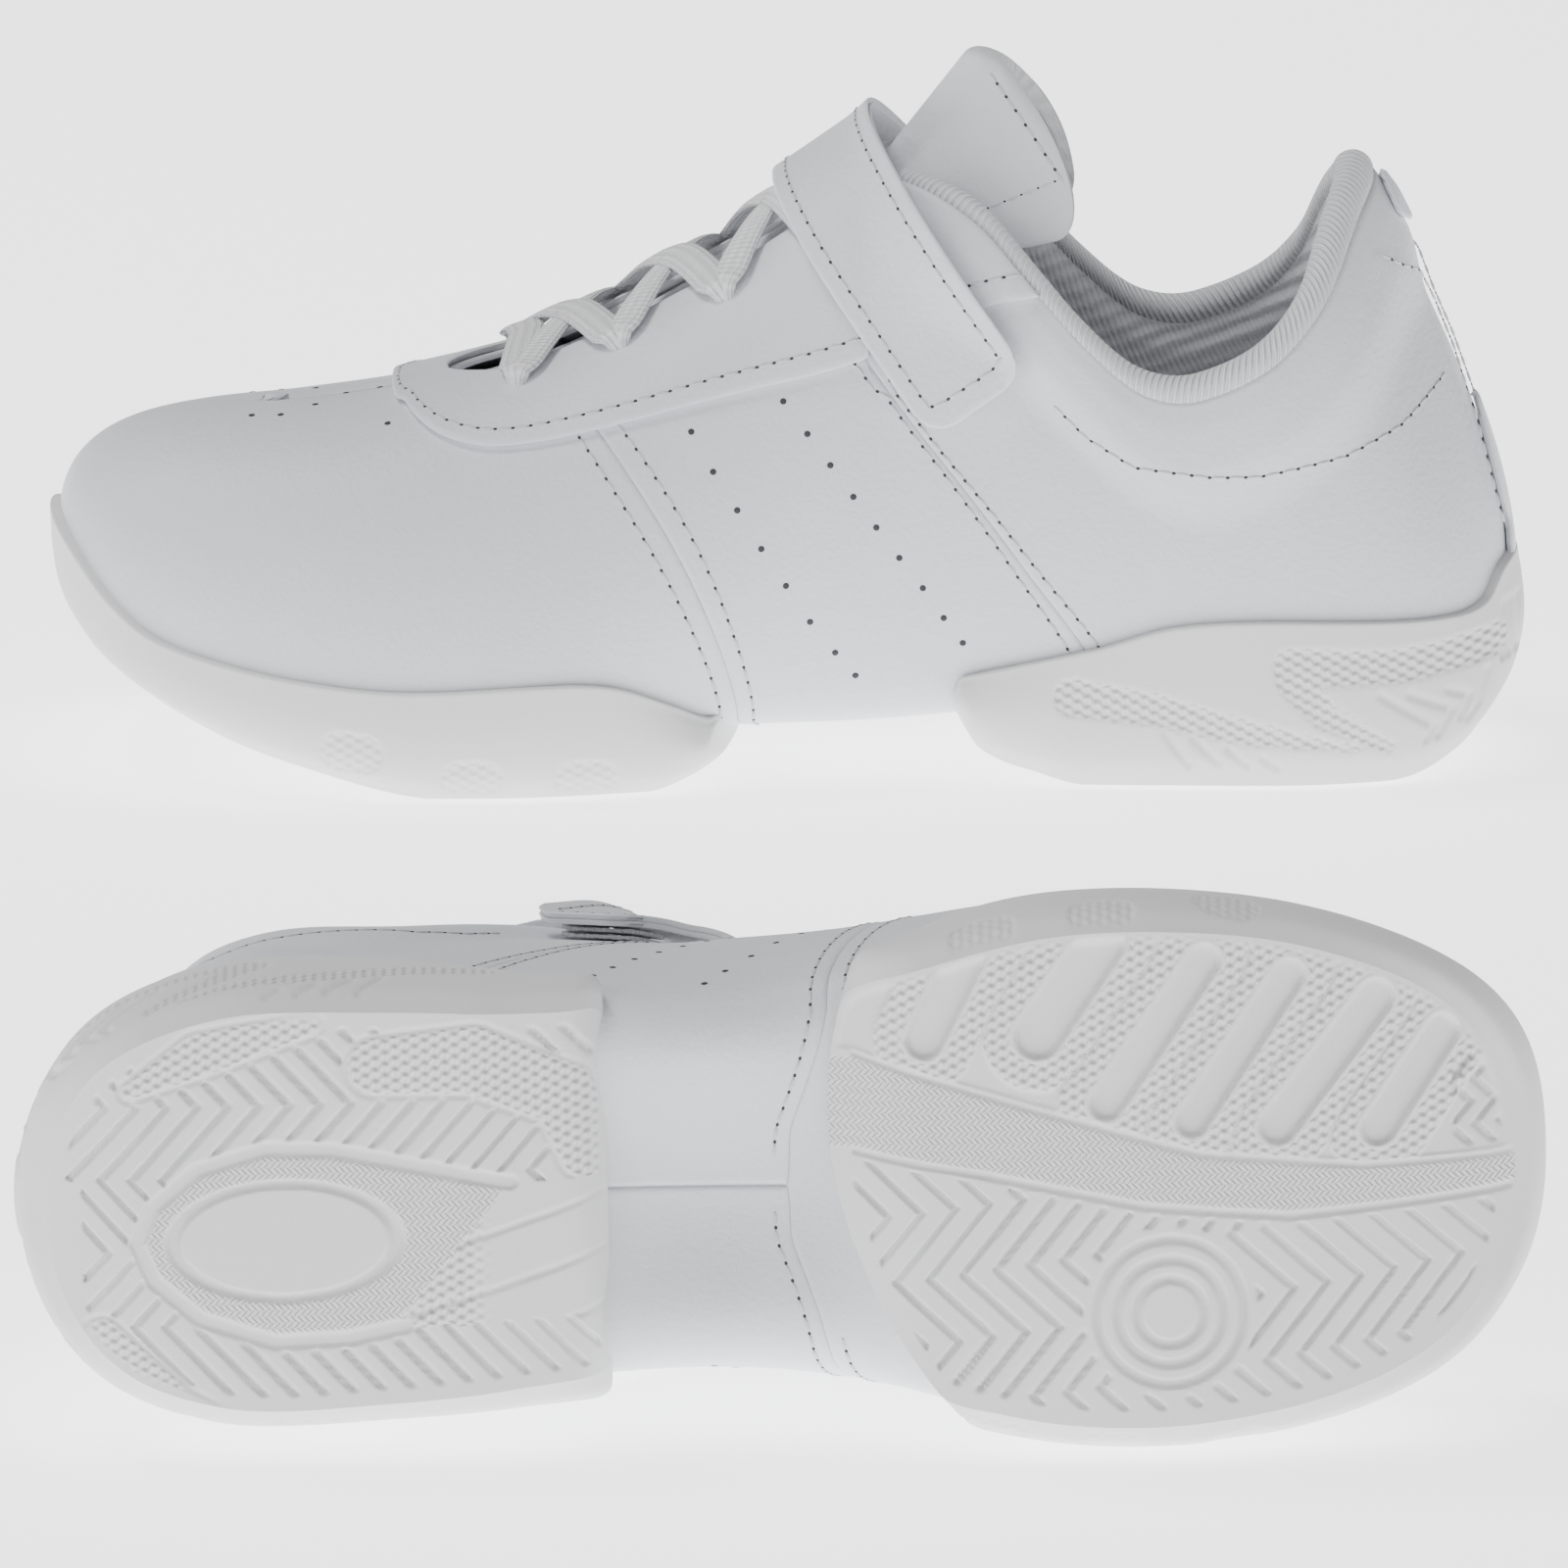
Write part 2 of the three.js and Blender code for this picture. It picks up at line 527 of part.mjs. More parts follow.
// ---- Tongue ----
const TONGUE_FRONT = 8.25;
const TONGUE_TURN = 0.62; // how far along it leaves the shoe's instep
const tongueHalf = through([[5, 25], [6, 21], [7, 17], [8.25, 12]]);
const TONGUE_BULGE = 3.4;
function tonguePoint(u, a) {
  const k = lerp(TONGUE_FRONT, 5, Math.min(u / TONGUE_TURN, 1));
  const side = a < 0 ? -1 : 1;
  const rate = lastPoint(k, 1, side).distanceTo(lastPoint(k, 0.98, side)) / 0.02;
  const p = lastPoint(k, 1 - (Math.abs(a) * tongueHalf(k) * sy) / rate, side);
  const past = Math.max(u - TONGUE_TURN, 0) / (1 - TONGUE_TURN);
  const drop = Math.abs(a) ** 2.4;
  const end = new THREE.Vector3((98 - 24 * a * a) * sx, (24 - 3 * a * a) * a * sy, (131 - 30 * drop) * sz);
  return p.lerp(end, past);
}
function tongueNormal(u, a) {
  const h = 0.01;
  const du = tonguePoint(Math.min(u + h, 1), a).sub(tonguePoint(Math.max(u - h, 0), a));
  const da = tonguePoint(u, Math.min(a + h, 1)).sub(tonguePoint(u, Math.max(a - h, -1)));
  const n = du.cross(da).normalize();
  if (a === 0) n.y = 0;
  return n.z < 0 ? n.negate() : n;
}
const tongueRows = [-1, -0.68, -0.36, 0, 0.36, 0.68, 1];
const tongueColumns = [0, 0.06, 0.18, 0.33, 0.48, 0.62, 0.81, 1];
const tongueSheet = () => [sheet(tongueColumns, tongueRows, (u, a) => [u, a], tonguePoint, tongueNormal)];
const bulged = (depth) => (u, a) =>
  depth + TONGUE_BULGE * smooth(0.06, 0.18, u) * smooth(0.3, 0.05, Math.abs(a));
const FACE_IN = -TONGUE_DROP - TONGUE_FACE;
const PAD_OUT = FACE_IN - CLEARANCE;
const tongueFace = thicken(tongueSheet(), bulged(FACE_IN), bulged(-TONGUE_DROP));
const tonguePadding = thicken(tongueSheet(), PAD_OUT - TONGUE_PAD, bulged(PAD_OUT));
const TONGUE_LINING_OUT = PAD_OUT - TONGUE_PAD - CLEARANCE;
const tongueLining = thicken(tongueSheet(), TONGUE_LINING_OUT - TONGUE_LINING, TONGUE_LINING_OUT);

// ---- Strap ----
const STRAP_TIP = [99.1, 72]; // middle of the free end, in the side view
const STRAP_WAY = [0.58, 0.815];
const LANDING_AT = 5.7; // along the strap's line, where its fixed half comes down onto the leather
const ROOT_AT = -13;
function band(from, to, half, corner = 0) {
  const [dx, dz] = STRAP_WAY;
  const at = (along, over) => [
    STRAP_TIP[0] * sx + dx * along + dz * over,
    STRAP_TIP[1] * sz + dz * along - dx * over,
  ];
  const arc = (over, start) => [0, 1, 2, 3].map((i) => {
    const turn = start + (i * Math.PI) / 6;
    return at(from + corner - corner * Math.cos(turn), over * (half - corner + corner * Math.sin(turn)));
  });
  const tip = corner ? [...arc(-1, 0).reverse(), ...arc(1, 0)] : [at(from, -half), at(from, half)];
  return [...tip, at(to, half), at(to, -half)];
}
const strapNet = [2.6, 3.2, 3.8, 4.4, 5, 5.5, 6, 6.7];
const strapRows = [0.25, 0.4, 0.54, 0.67, 0.79, 0.9, 1];
const onInstep = (side) => (k, v) => [k, v, side];
const strapOver = (depth) => (k, v, side) =>
  swell(depth)(k, v, side) + STRAP_LIFT * smooth(0.5, 0.75, v);
const instep = (inner, outer) => thicken(bothSides(strapNet, strapRows, onInstep), inner, outer);
const halfWidth = STRAP_WIDTH / 2;
const strapShell = instep(strapOver(STRAP_IN), strapOver(STRAP_IN + STRAP));
const freeHalf = sideBlock(band(0, 95, halfWidth, STRAP_CORNER), HALF_SEAM, 200);
const fixedHalf = sideBlock(band(LANDING_AT - 1, 95, halfWidth), -200, -HALF_SEAM);
const strap = strapShell.intersect(freeHalf);
const anchorTop = (k, v, side) =>
  lerp(STRAP_IN, strapOver(STRAP_IN + STRAP)(k, v, side), smooth(0.35, 0.55, v));
const strapRoot = instep(swell(PATCH_IN + 0.5), anchorTop)
  .intersect(sideBlock(band(ROOT_AT, LANDING_AT, halfWidth), -200, -5));
const strapAnchor = strapRoot.add(strapShell.intersect(fixedHalf));
const PATCH_INSET = 3.5;
const patchBlock = sideBlock(band(PATCH_INSET, 12, halfWidth - PATCH_INSET), 5, 200);
const loopPatch = instep(swell(PATCH_IN), swell(PATCH_IN + PATCH)).intersect(patchBlock);
const hookPatch = instep(swell(HOOK_IN), swell(HOOK_IN + PATCH)).intersect(patchBlock);

// ---- Lace and its eyelets ----
const EYELETS = [181, 162, 143, 125]; // each pair's x, from the toe
const eyelets = EYELETS.map((x) => [1, -1].map((side) => {
  const k = solve(4, THROAT_FRONT, (q) => lastPoint(q, topEdge(q, side), side).x > x * sx);
  const edge = topEdge(k, side);
  const rate = lastPoint(k, edge, side).distanceTo(lastPoint(k, edge - 0.02, side)) / 0.02;
  return { k, w: side * (1 - edge + EYELET_MARGIN / rate) };
}));
const across = (k, w) => [k, 1 - Math.abs(w), w < 0 ? -1 : 1];
function peg({ k, w }, radius, from, to) {
  const n = lastNormal(...across(k, w));
  const p = lastPoint(...across(k, w));
  const rod = new THREE.CylinderGeometry(radius, radius, to - from, 6);
  rod.applyQuaternion(new THREE.Quaternion().setFromUnitVectors(new THREE.Vector3(0, 1, 0), n));
  const middle = p.addScaledVector(n, (from + to) / 2);
  rod.translate(middle.x, middle.y, middle.z);
  const flat = rod.toNonIndexed().attributes.position.array;
  return solid(Array.from(flat), Array.from({ length: flat.length / 3 }, (_, i) => i));
}
function ribbon(a, b) {
  const steps = 5;
  const way = (t) => across(lerp(a.k, b.k, t), lerp(a.w, b.w, t));
  const centre = (t) => lastPoint(...way(t)).addScaledVector(lastNormal(...way(t)), LACE_IN);
  const overhang = 0.06;
  return loft(Array.from({ length: steps + 1 }, (_, i) => {
    const t = lerp(-overhang, 1 + overhang, i / steps);
    const n = lastNormal(...way(t));
    const along = centre(t + 0.02).sub(centre(t - 0.02)).normalize();
    const over = n.clone().cross(along).normalize().multiplyScalar(LACE_WIDTH / 2);
    const low = centre(t);
    const high = low.clone().addScaledVector(n, LACE_THICKNESS);
    return [low.clone().sub(over), low.clone().add(over), high.clone().add(over), high.clone().sub(over)];
  }));
}
const runs = [[eyelets[0][0], eyelets[0][1]]];
for (let i = 0; i + 1 < eyelets.length; i++)
  runs.push([eyelets[i][0], eyelets[i + 1][1]], [eyelets[i][1], eyelets[i + 1][0]]);
const PEG_RADIUS = EYELET_RADIUS - CLEARANCE - 0.1;
const PEG_TOP = LACE_IN + LACE_THICKNESS / 2;
const pegs = eyelets.flat().map((e) => peg(e, PEG_RADIUS, LEATHER_IN, PEG_TOP));
const lace = wasm.Manifold.union([...runs.map(([a, b]) => ribbon(a, b)), ...pegs]);
const drills = eyelets.flat().map((e) => peg(e, EYELET_RADIUS, LINING + CLEARANCE / 2, LACE_IN + 3));
const holes = wasm.Manifold.union(drills);

// ---- Group ----
const paint = (name, color, roughness) => new THREE.MeshStandardMaterial({ name, color, roughness, metalness: 0 });
const hide = paint("leather", 0xeef0f4, 0.5);
const knit = paint("knit", 0xe6eaf0, 0.95);
const foam = paint("foam", 0xf2f2ee, 0.9);
const rubber = paint("rubber", 0xeeeff1, 0.55);
const board = paint("board", 0xd9d4c8, 0.9);
const elastic = paint("elastic", 0xf3f4f6, 0.8);

function geometryOf(made) {
  const m = made.getMesh();
  const position = [];
  for (let i = 0; i < m.numVert; i++) {
    const start = i * m.numProp;
    position.push(...m.vertProperties.subarray(start, start + 3));
  }
  return new THREE.BufferGeometry()
    .setAttribute("position", new THREE.Float32BufferAttribute(position, 3))
    .setIndex(Array.from(m.triVerts));
}

const pieces = [
  ["forefoot_sole", forefootSole, rubber],
  ["heel_sole", heelSole, rubber],
  ["lasting_board", lastingBoard, board],
  ["insole", insole, knit],
  ["vamp", leatherShell.add(archShell).intersect(frontPart).subtract(holes), hide],
  ["saddle_outer", archShell.intersect(middlePart).intersect(outerHalf).subtract(holes), hide],
  ["saddle_inner", archShell.intersect(middlePart).intersect(innerHalf).subtract(holes), hide],
  ["quarter_outer", leatherShell.intersect(rearPart).intersect(outerHalf).subtract(holes), hide],
  ["quarter_inner", leatherShell.intersect(rearPart).intersect(innerHalf).subtract(holes), hide],
  ["vamp_lining", liningShell.intersect(frontPart), knit],
  ["saddle_lining_outer", liningShell.intersect(middlePart).intersect(outerHalf), knit],
  ["saddle_lining_inner", liningShell.intersect(middlePart).intersect(innerHalf), knit],
  ["quarter_lining", liningShell.intersect(rearPart), knit],
  ["toe_puff", toePuff, foam],
  ["heel_counter", heelCounter, foam],
  ["collar_foam", collarFoam, foam],
  ["collar_binding", collarBinding, knit],
  ["backstay", backstay, hide],
  ["eyestay", eyestayShell.subtract(holes), hide],
  ["tongue_face", tongueFace, hide],
  ["tongue_padding", tonguePadding, foam],
  ["tongue_lining", tongueLining, knit],
  ["strap", strap, hide],
  ["strap_anchor", strapAnchor, hide],
  ["loop_patch", loopPatch, knit],
  ["hook_patch", hookPatch, knit],
  ["lace", lace, elastic],
];

function shoe(prefix) {
  const group = new THREE.Group();
  for (const [name, made, material] of pieces) {
    const mesh = new THREE.Mesh(geometryOf(made), material);
    mesh.name = prefix + name;
    group.add(mesh);
  }
  return group;
}

// The left shoe stands at the back with its toe to -X. The right one, its mirror image, lies in front with
// its toe to +X.
const left = shoe("left_");
left.rotation.z = Math.PI;
const right = shoe("right_");
right.scale.y = -1;
right.position.set(-SHOE_LENGTH / 2, 0, 0);
const lying = new THREE.Group();
lying.add(right);
lying.rotation.set(THREE.MathUtils.degToRad(-90 - LYING_ROLL), -THREE.MathUtils.degToRad(LYING_PITCH), 0, "YXZ");
left.position.set(SHOE_LENGTH / 2, PAIR_DEPTH / 2, 0);
lying.position.set(0, -PAIR_DEPTH / 2, 0);
const pair = new THREE.Group();
pair.add(left, lying);
for (const one of [left, lying]) {
  pair.updateMatrixWorld(true);
  one.position.z -= new THREE.Box3().setFromObject(one, true).min.z;
}
pair.updateMatrixWorld(true);
const middle = new THREE.Box3().setFromObject(pair, true).getCenter(new THREE.Vector3());
pair.position.set(-middle.x, -middle.y, 0);
export default pair;
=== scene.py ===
import math

import bmesh
import bpy
import numpy as np
from mathutils import Matrix, Vector


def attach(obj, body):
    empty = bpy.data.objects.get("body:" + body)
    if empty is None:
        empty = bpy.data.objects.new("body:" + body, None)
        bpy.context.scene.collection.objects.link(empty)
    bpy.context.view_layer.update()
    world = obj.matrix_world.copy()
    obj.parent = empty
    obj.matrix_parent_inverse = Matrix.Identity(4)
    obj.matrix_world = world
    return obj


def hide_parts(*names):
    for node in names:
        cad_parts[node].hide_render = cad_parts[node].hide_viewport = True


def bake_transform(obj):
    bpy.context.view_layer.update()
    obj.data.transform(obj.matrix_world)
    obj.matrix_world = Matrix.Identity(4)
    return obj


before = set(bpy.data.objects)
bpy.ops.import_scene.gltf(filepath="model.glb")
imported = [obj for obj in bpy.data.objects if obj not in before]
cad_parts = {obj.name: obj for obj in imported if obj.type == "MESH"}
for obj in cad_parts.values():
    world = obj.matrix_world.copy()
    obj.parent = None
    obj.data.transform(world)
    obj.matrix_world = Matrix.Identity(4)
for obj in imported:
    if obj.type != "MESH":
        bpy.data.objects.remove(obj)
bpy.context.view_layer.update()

# ---- Camera ----
# A long lens, a little above the pair, so that the standing shoe shows its outer side over the sole of
# its mate. There are no free cords: the laces are held in their eyelets.
AIM = Vector((0, 0, 0.0517))
ELEVATION = math.radians(13)
FIELD_WIDTH = 0.2817
lens = bpy.data.cameras.new("camera")
lens.lens = 1700
lens.sensor_width = 36
camera = bpy.data.objects.new("camera", lens)
bpy.context.collection.objects.link(camera)
back = Vector((0, -math.cos(ELEVATION), math.sin(ELEVATION)))
distance = FIELD_WIDTH * lens.lens / lens.sensor_width
camera.location = AIM + back * distance
camera.rotation_euler = back.to_track_quat("Z", "Y").to_euler()
lens.clip_end = 100
bpy.context.scene.camera = camera


# ---- The last ----
# The wooden form that the upper is pulled over, as a surface: stations run from the back of the heel
# to the tip of the toe, each a curve from the feather edge up to the crown or down under the foot.
STATIONS = np.array([
    [6.5, 0, 22, -3.5, 0, 33, -21, 0, -45, 44, 0, 130, 20.5],
    [15, 22, 22, -3, 6, 31, -14, -1, -45, 51, 19, 130, 21],
    [36, 32, 22, -1, 6, 28, -8, 1, -40, 62, 26, 130, 21],
    [66, 32.5, 22, 0, 7, 28, -4, 3, -36, 80, 24, 131, 20.5],
    [96, 31, 21.5, 0, 8, 30, 4, 14, -20, 96, 13, 127, 20],
    [120, 31, 21, 0, 9, 33, 3, 25, 0, 116, 0, 107.5, 19.5],
    [146, 34, 19, 0, 10, 27, 2, 27, -1, 140, 0, 91.5, 16.5],
    [184, 43, 13.5, 1, 6, 21, 2, 31, 0, 171, 0, 74, 12],
    [218, 41.5, 14, 3, 5, 22, 6, 32, 0, 196, 0, 65.5, 13],
    [245, 31.5, 20.5, 6, 5, 18, 16, 28, 0, 213, 0, 62, 19],
    [258, 17.5, 29, 8, 4, 16, 30, 15, 0.8, 222, 0, 60.8, 26.5],
    [261.5, 0, 32, 6, 0, 18, 37, 0, 1, 225, 0, 60.3, 29],
])
OTHER_SIDE = np.array([1, -1, 1] * 4 + [1])
RUN = np.vstack([STATIONS[1] * OTHER_SIDE, STATIONS, STATIONS[-2] * OTHER_SIDE])
TIP = len(STATIONS) - 1


def curve(pairs):
    """A smooth curve through (x, y) pairs, read at any x."""
    xs, ys = np.array(pairs, float).T
    slopes = np.gradient(ys, xs) * 0
    slopes[1:-1] = (ys[2:] - ys[:-2]) / (xs[2:] - xs[:-2])
    slopes[0] = (ys[1] - ys[0]) / (xs[1] - xs[0])
    slopes[-1] = (ys[-1] - ys[-2]) / (xs[-1] - xs[-2])

    def at(x):
        x = np.clip(x, xs[0], xs[-1])
        i = np.clip(np.searchsorted(xs, x, side="right") - 1, 0, len(xs) - 2)
        h = xs[i + 1] - xs[i]
        t = (x - xs[i]) / h
        return (
            (2 * t**3 - 3 * t**2 + 1) * ys[i] + (t**3 - 2 * t**2 + t) * h * slopes[i]
            + (3 * t**2 - 2 * t**3) * ys[i + 1] + (t**3 - t**2) * h * slopes[i + 1]
        )

    return at


def smooth(a, b, x):
    t = np.clip((x - a) / (b - a), 0, 1)
    return t * t * (3 - 2 * t)


def mix(a, b, t):
    return a + (b - a) * t


INNER_SIDE = curve([(0, 1), (2, 1.02), (4, 0.97), (6, 0.9), (7, 0.92), (8, 0.94), (9, 0.98), (11, 1)])
ROUNDNESS = curve([(0, 0.14), (3, 0.16), (4.5, 0.4), (6, 0.4), (7, 0.16), (11, 0.14)])
UNDER_SHIFT = curve([(0, 9), (1, 6), (2, 2), (3, 0), (8, 0), (9, -3), (10, -7), (11, -10)])


def bezier(a, b, c, d, t):
    s = 1 - t
    return s**3 * a + 3 * s**2 * t * b + 3 * s * t**2 * c + t**3 * d


def last(k, v, side):
    """Points of the last, in millimetres: v is 0 at the feather edge, 1 at the crown, -1 under the foot."""
    k, v, side = np.broadcast_arrays(np.asarray(k, float), np.asarray(v, float), np.asarray(side, float))
    i = np.clip(np.floor(k).astype(int), 0, TIP - 1)
    t = (k - i)[:, None]
    a, b, c, d = (RUN[i + j] for j in range(4))
    at = 0.5 * (2 * b + (c - a) * t + (2 * a - 5 * b + 4 * c - d) * t**2 + (3 * b - a - 3 * c + d) * t**3)
    feather, rise, fall, crown = at[:, 0:3], at[:, 3:6], at[:, 6:9], at[:, 9:12].copy()
    crown[:, 1] = np.maximum(crown[:, 1], 0)
    up = np.clip(v, 0, 1)[:, None]
    above = bezier(feather, feather + rise, crown + fall, crown, up)
    beyond = crown - 3 * fall * (v - 1)[:, None]
    tucked = feather - rise * ROUNDNESS(k)[:, None]
    under = np.stack([feather[:, 0] + UNDER_SHIFT(k), feather[:, 1] * 0.55, at[:, 12]], 1)
    below = bezier(feather, tucked, under, under * [1, 0, 1], np.clip(-v, 0, 1)[:, None])
    p = np.where((v < 0)[:, None], below, np.where((v > 1)[:, None], beyond, above))
    narrow = np.where(side > 0, 1, INNER_SIDE(k))
    p[:, 1] = np.maximum(p[:, 1], 0) * narrow * side
    return p


def facing(k, v, side):
    """Unit normals of the last, out of the foot."""
    k, v, side = np.broadcast_arrays(np.asarray(k, float), np.asarray(v, float), np.asarray(side, float))
    h = 0.004
    k0, v0 = np.clip(k, 0.02, TIP - 0.02), np.clip(v, -0.985, 1.6)
    along = last(k0 + h, v0, side) - last(k0 - h, v0, side)
    up = last(k0, v0 + h, side) - last(k0, v0 - h, side)
    n = np.cross(up, along) * side[:, None]
    end = (k < 0.02) | (k > TIP - 0.02)
    n[end & (v < -0.5)] = [0, 0, -1]
    middle = end | (v < -0.985) | ((v > 0.985) & (v <= 1) & (k > 4.9))
    n[middle, 1] = 0
    return n / np.linalg.norm(n, axis=1, keepdims=True)


def solve(low, high, too_high):
    """The turning point between low and high, for each place at once."""
    low, high = np.array(low, float), np.array(high, float)
    for _ in range(24):
        middle = (low + high) / 2
        above = too_high(middle)
        high = np.where(above, middle, high)
        low = np.where(above, low, middle)
    return (low + high) / 2


COLLAR_HEIGHT = curve([
    (0, 106), (0.5, 101.5), (1, 93.5), (1.5, 85), (2, 77.5), (2.5, 72.5), (2.75, 72), (3, 74.5), (3.3, 82),
    (3.6, 91), (4, 101.5), (4.4, 106), (5, 106.5), (6, 107),
])
THROAT_FRONT = 7.95
EDGE_AT = np.linspace(0, TIP, 2201)
EDGE = {}
for side in (1, -1):
    k = EDGE_AT
    collar = solve(k * 0, k * 0 + 1, lambda v: last(k, v, side)[:, 2] > COLLAR_HEIGHT(k))
    throat_half = 10 * np.sqrt(np.clip((THROAT_FRONT - k) / 0.45, 0, 1))
    throat = solve(k * 0 + 0.3, k * 0 + 1, lambda v: np.abs(last(k, v, side)[:, 1]) < throat_half)
    edge = np.minimum(np.where(k > 5.6, 1, collar), np.where(k < 3.6, 1, throat))
    EDGE[side] = np.where(k >= THROAT_FRONT, 1, edge)


def top_edge(k, side):
    return np.where(np.asarray(side) > 0, np.interp(k, EDGE_AT, EDGE[1]), np.interp(k, EDGE_AT, EDGE[-1]))


def padding(k, v, side):
    """How much the padded collar swells, from 0 to 1."""
    down = last(k, top_edge(k, side), side)[:, 2] - last(k, v, side)[:, 2]
    full = (1 - smooth(4, 4.9, k)) * smooth(24, 10.8, down) * (0.55 + 0.45 * smooth(-1, 6, down))
    return np.where((k > 5.2) | (v < 0), 0, full)


def skin(k, v, side, depth, inside=False):
    """Points and normals at a depth out from the last, with the collar's padding."""
    k, v, side = np.broadcast_arrays(np.asarray(k, float), np.asarray(v, float), np.asarray(side, float))
    n = facing(k, v, side)
    swell = padding(k, v, side) * (-3.2 if inside else 2.4)
    return last(k, v, side) + n * (depth + swell)[:, None], n


# ---- Where the two shoes are ----
# The left shoe stands with its toe to -X. The right one is its mirror image, rolled onto its inner
# side with its sole to the front.
MM = 0.001
PLACES = {
    "left": Matrix.Translation((0.134954, 0.257619, 0)) @ Matrix.Rotation(math.pi, 4, "Z"),
    "right": Matrix.Translation((-0.135, -0.302381, 0.043266))
    @ Matrix.Rotation(math.radians(-1.5), 4, "Y") @ Matrix.Rotation(math.radians(-93.9), 4, "X")
    @ Matrix.Scale(-1, 4, (0, 1, 0)),
}


def to_world(shoe, points):
    m = np.array(PLACES[shoe])
    return points @ m[:3, :3].T * MM + m[:3, 3]


def turned(shoe, directions):
    return directions @ np.array(PLACES[shoe])[:3, :3].T


def patch(shoe, across, up, place):
    """A grid laid on a surface: place(s, t) gives points, normals and the pattern's own coordinates."""
    bm = bmesh.new()
    bmesh.ops.create_grid(bm, x_segments=across, y_segments=up, size=0.5)
    mesh = bpy.data.meshes.new("patch")
    bm.to_mesh(mesh)
    bm.free()
    flat = np.empty(len(mesh.vertices) * 3)
    mesh.vertices.foreach_get("co", flat)
    flat = flat.reshape(-1, 3) + 0.5
    got = place(flat[:, 0], flat[:, 1])
    points, normals, way = got[0], got[1], got[2]
    mesh.vertices.foreach_set("co", to_world(shoe, points).ravel())
    mesh.update()
    for name, values in [("way", way)] + list(zip(("hex", "fine"), got[3:])):
        kind = "FLOAT_VECTOR" if name == "way" else "FLOAT"
        attribute = mesh.attributes.new(name, kind, "POINT")
        if name == "way":
            attribute.data.foreach_set("vector", np.c_[values, values[:, 0] * 0].astype(np.float32).ravel())
        else:
            attribute.data.foreach_set("value", values.astype(np.float32))
    faces = np.empty(len(mesh.polygons) * 3)
    mesh.polygons.foreach_get("normal", faces)
    first = np.empty(len(mesh.loops), int)
    mesh.loops.foreach_get("vertex_index", first)
    outward = turned(shoe, normals)[first[::4]]
    if (faces.reshape(-1, 3) * outward).sum() < 0:
        mesh.flip_normals()
    return mesh


def finished(name, meshes, finish, thickness=0.0, weld=2e-5):
    """Patches become one named piece, welded where they meet and given their thickness inwards."""
    bm = bmesh.new()
    for mesh in meshes:
        bm.from_mesh(mesh)
        bpy.data.meshes.remove(mesh)
    bmesh.ops.remove_doubles(bm, verts=bm.verts, dist=weld)
    bmesh.ops.dissolve_degenerate(bm, edges=bm.edges, dist=1e-7)
    for face in bm.faces:
        face.smooth = True
    mesh = bpy.data.meshes.new(name)
    bm.to_mesh(mesh)
    bm.free()
    mesh.materials.append(finish)
    piece = bpy.data.objects.new(name, mesh)
    bpy.context.collection.objects.link(piece)
    if thickness:
        wall = piece.modifiers.new("wall", "SOLIDIFY")
        wall.thickness = thickness * MM
        wall.offset = -1
        applied(piece)
    return piece


def applied(piece):
    """The piece's modifiers become its mesh."""
    bpy.context.view_layer.update()
    seen = piece.evaluated_get(bpy.context.evaluated_depsgraph_get())
    mesh = bpy.data.meshes.new_from_object(seen)
    piece.modifiers.clear()
    piece.data = mesh
    return piece


BEND_START, BEND_END = np.array([101.5, 0, 55.0]), np.array([143.0, 0, 27.5])


def flexes(piece, shoe):
    """Where the piece would bend across the arch, from the heel's body to the forefoot's, is worked out but
    not used; the piece's placing is only baked into its mesh.
    """
    start, end = to_world(shoe, np.array([BEND_START, BEND_END]))
    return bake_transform(piece)


# ---- Finishes ----
# Shader maths reads as sums: a Value wraps a socket, and a Finish lays any other node.
class Value:
    def __init__(self, finish, socket):
        self.finish, self.socket = finish, socket

    def sum(self, operation, a, b):
        return self.finish.node("ShaderNodeMath", {"operation": operation}, {0: a, 1: b})

    def __add__(self, other):
        return self.sum("ADD", self, other)

    __radd__ = __add__

    def __sub__(self, other):
        return self.sum("SUBTRACT", self, other)

    def __rsub__(self, other):
        return self.sum("SUBTRACT", other, self)

    def __mul__(self, other):
        return self.sum("MULTIPLY", self, other)

    __rmul__ = __mul__


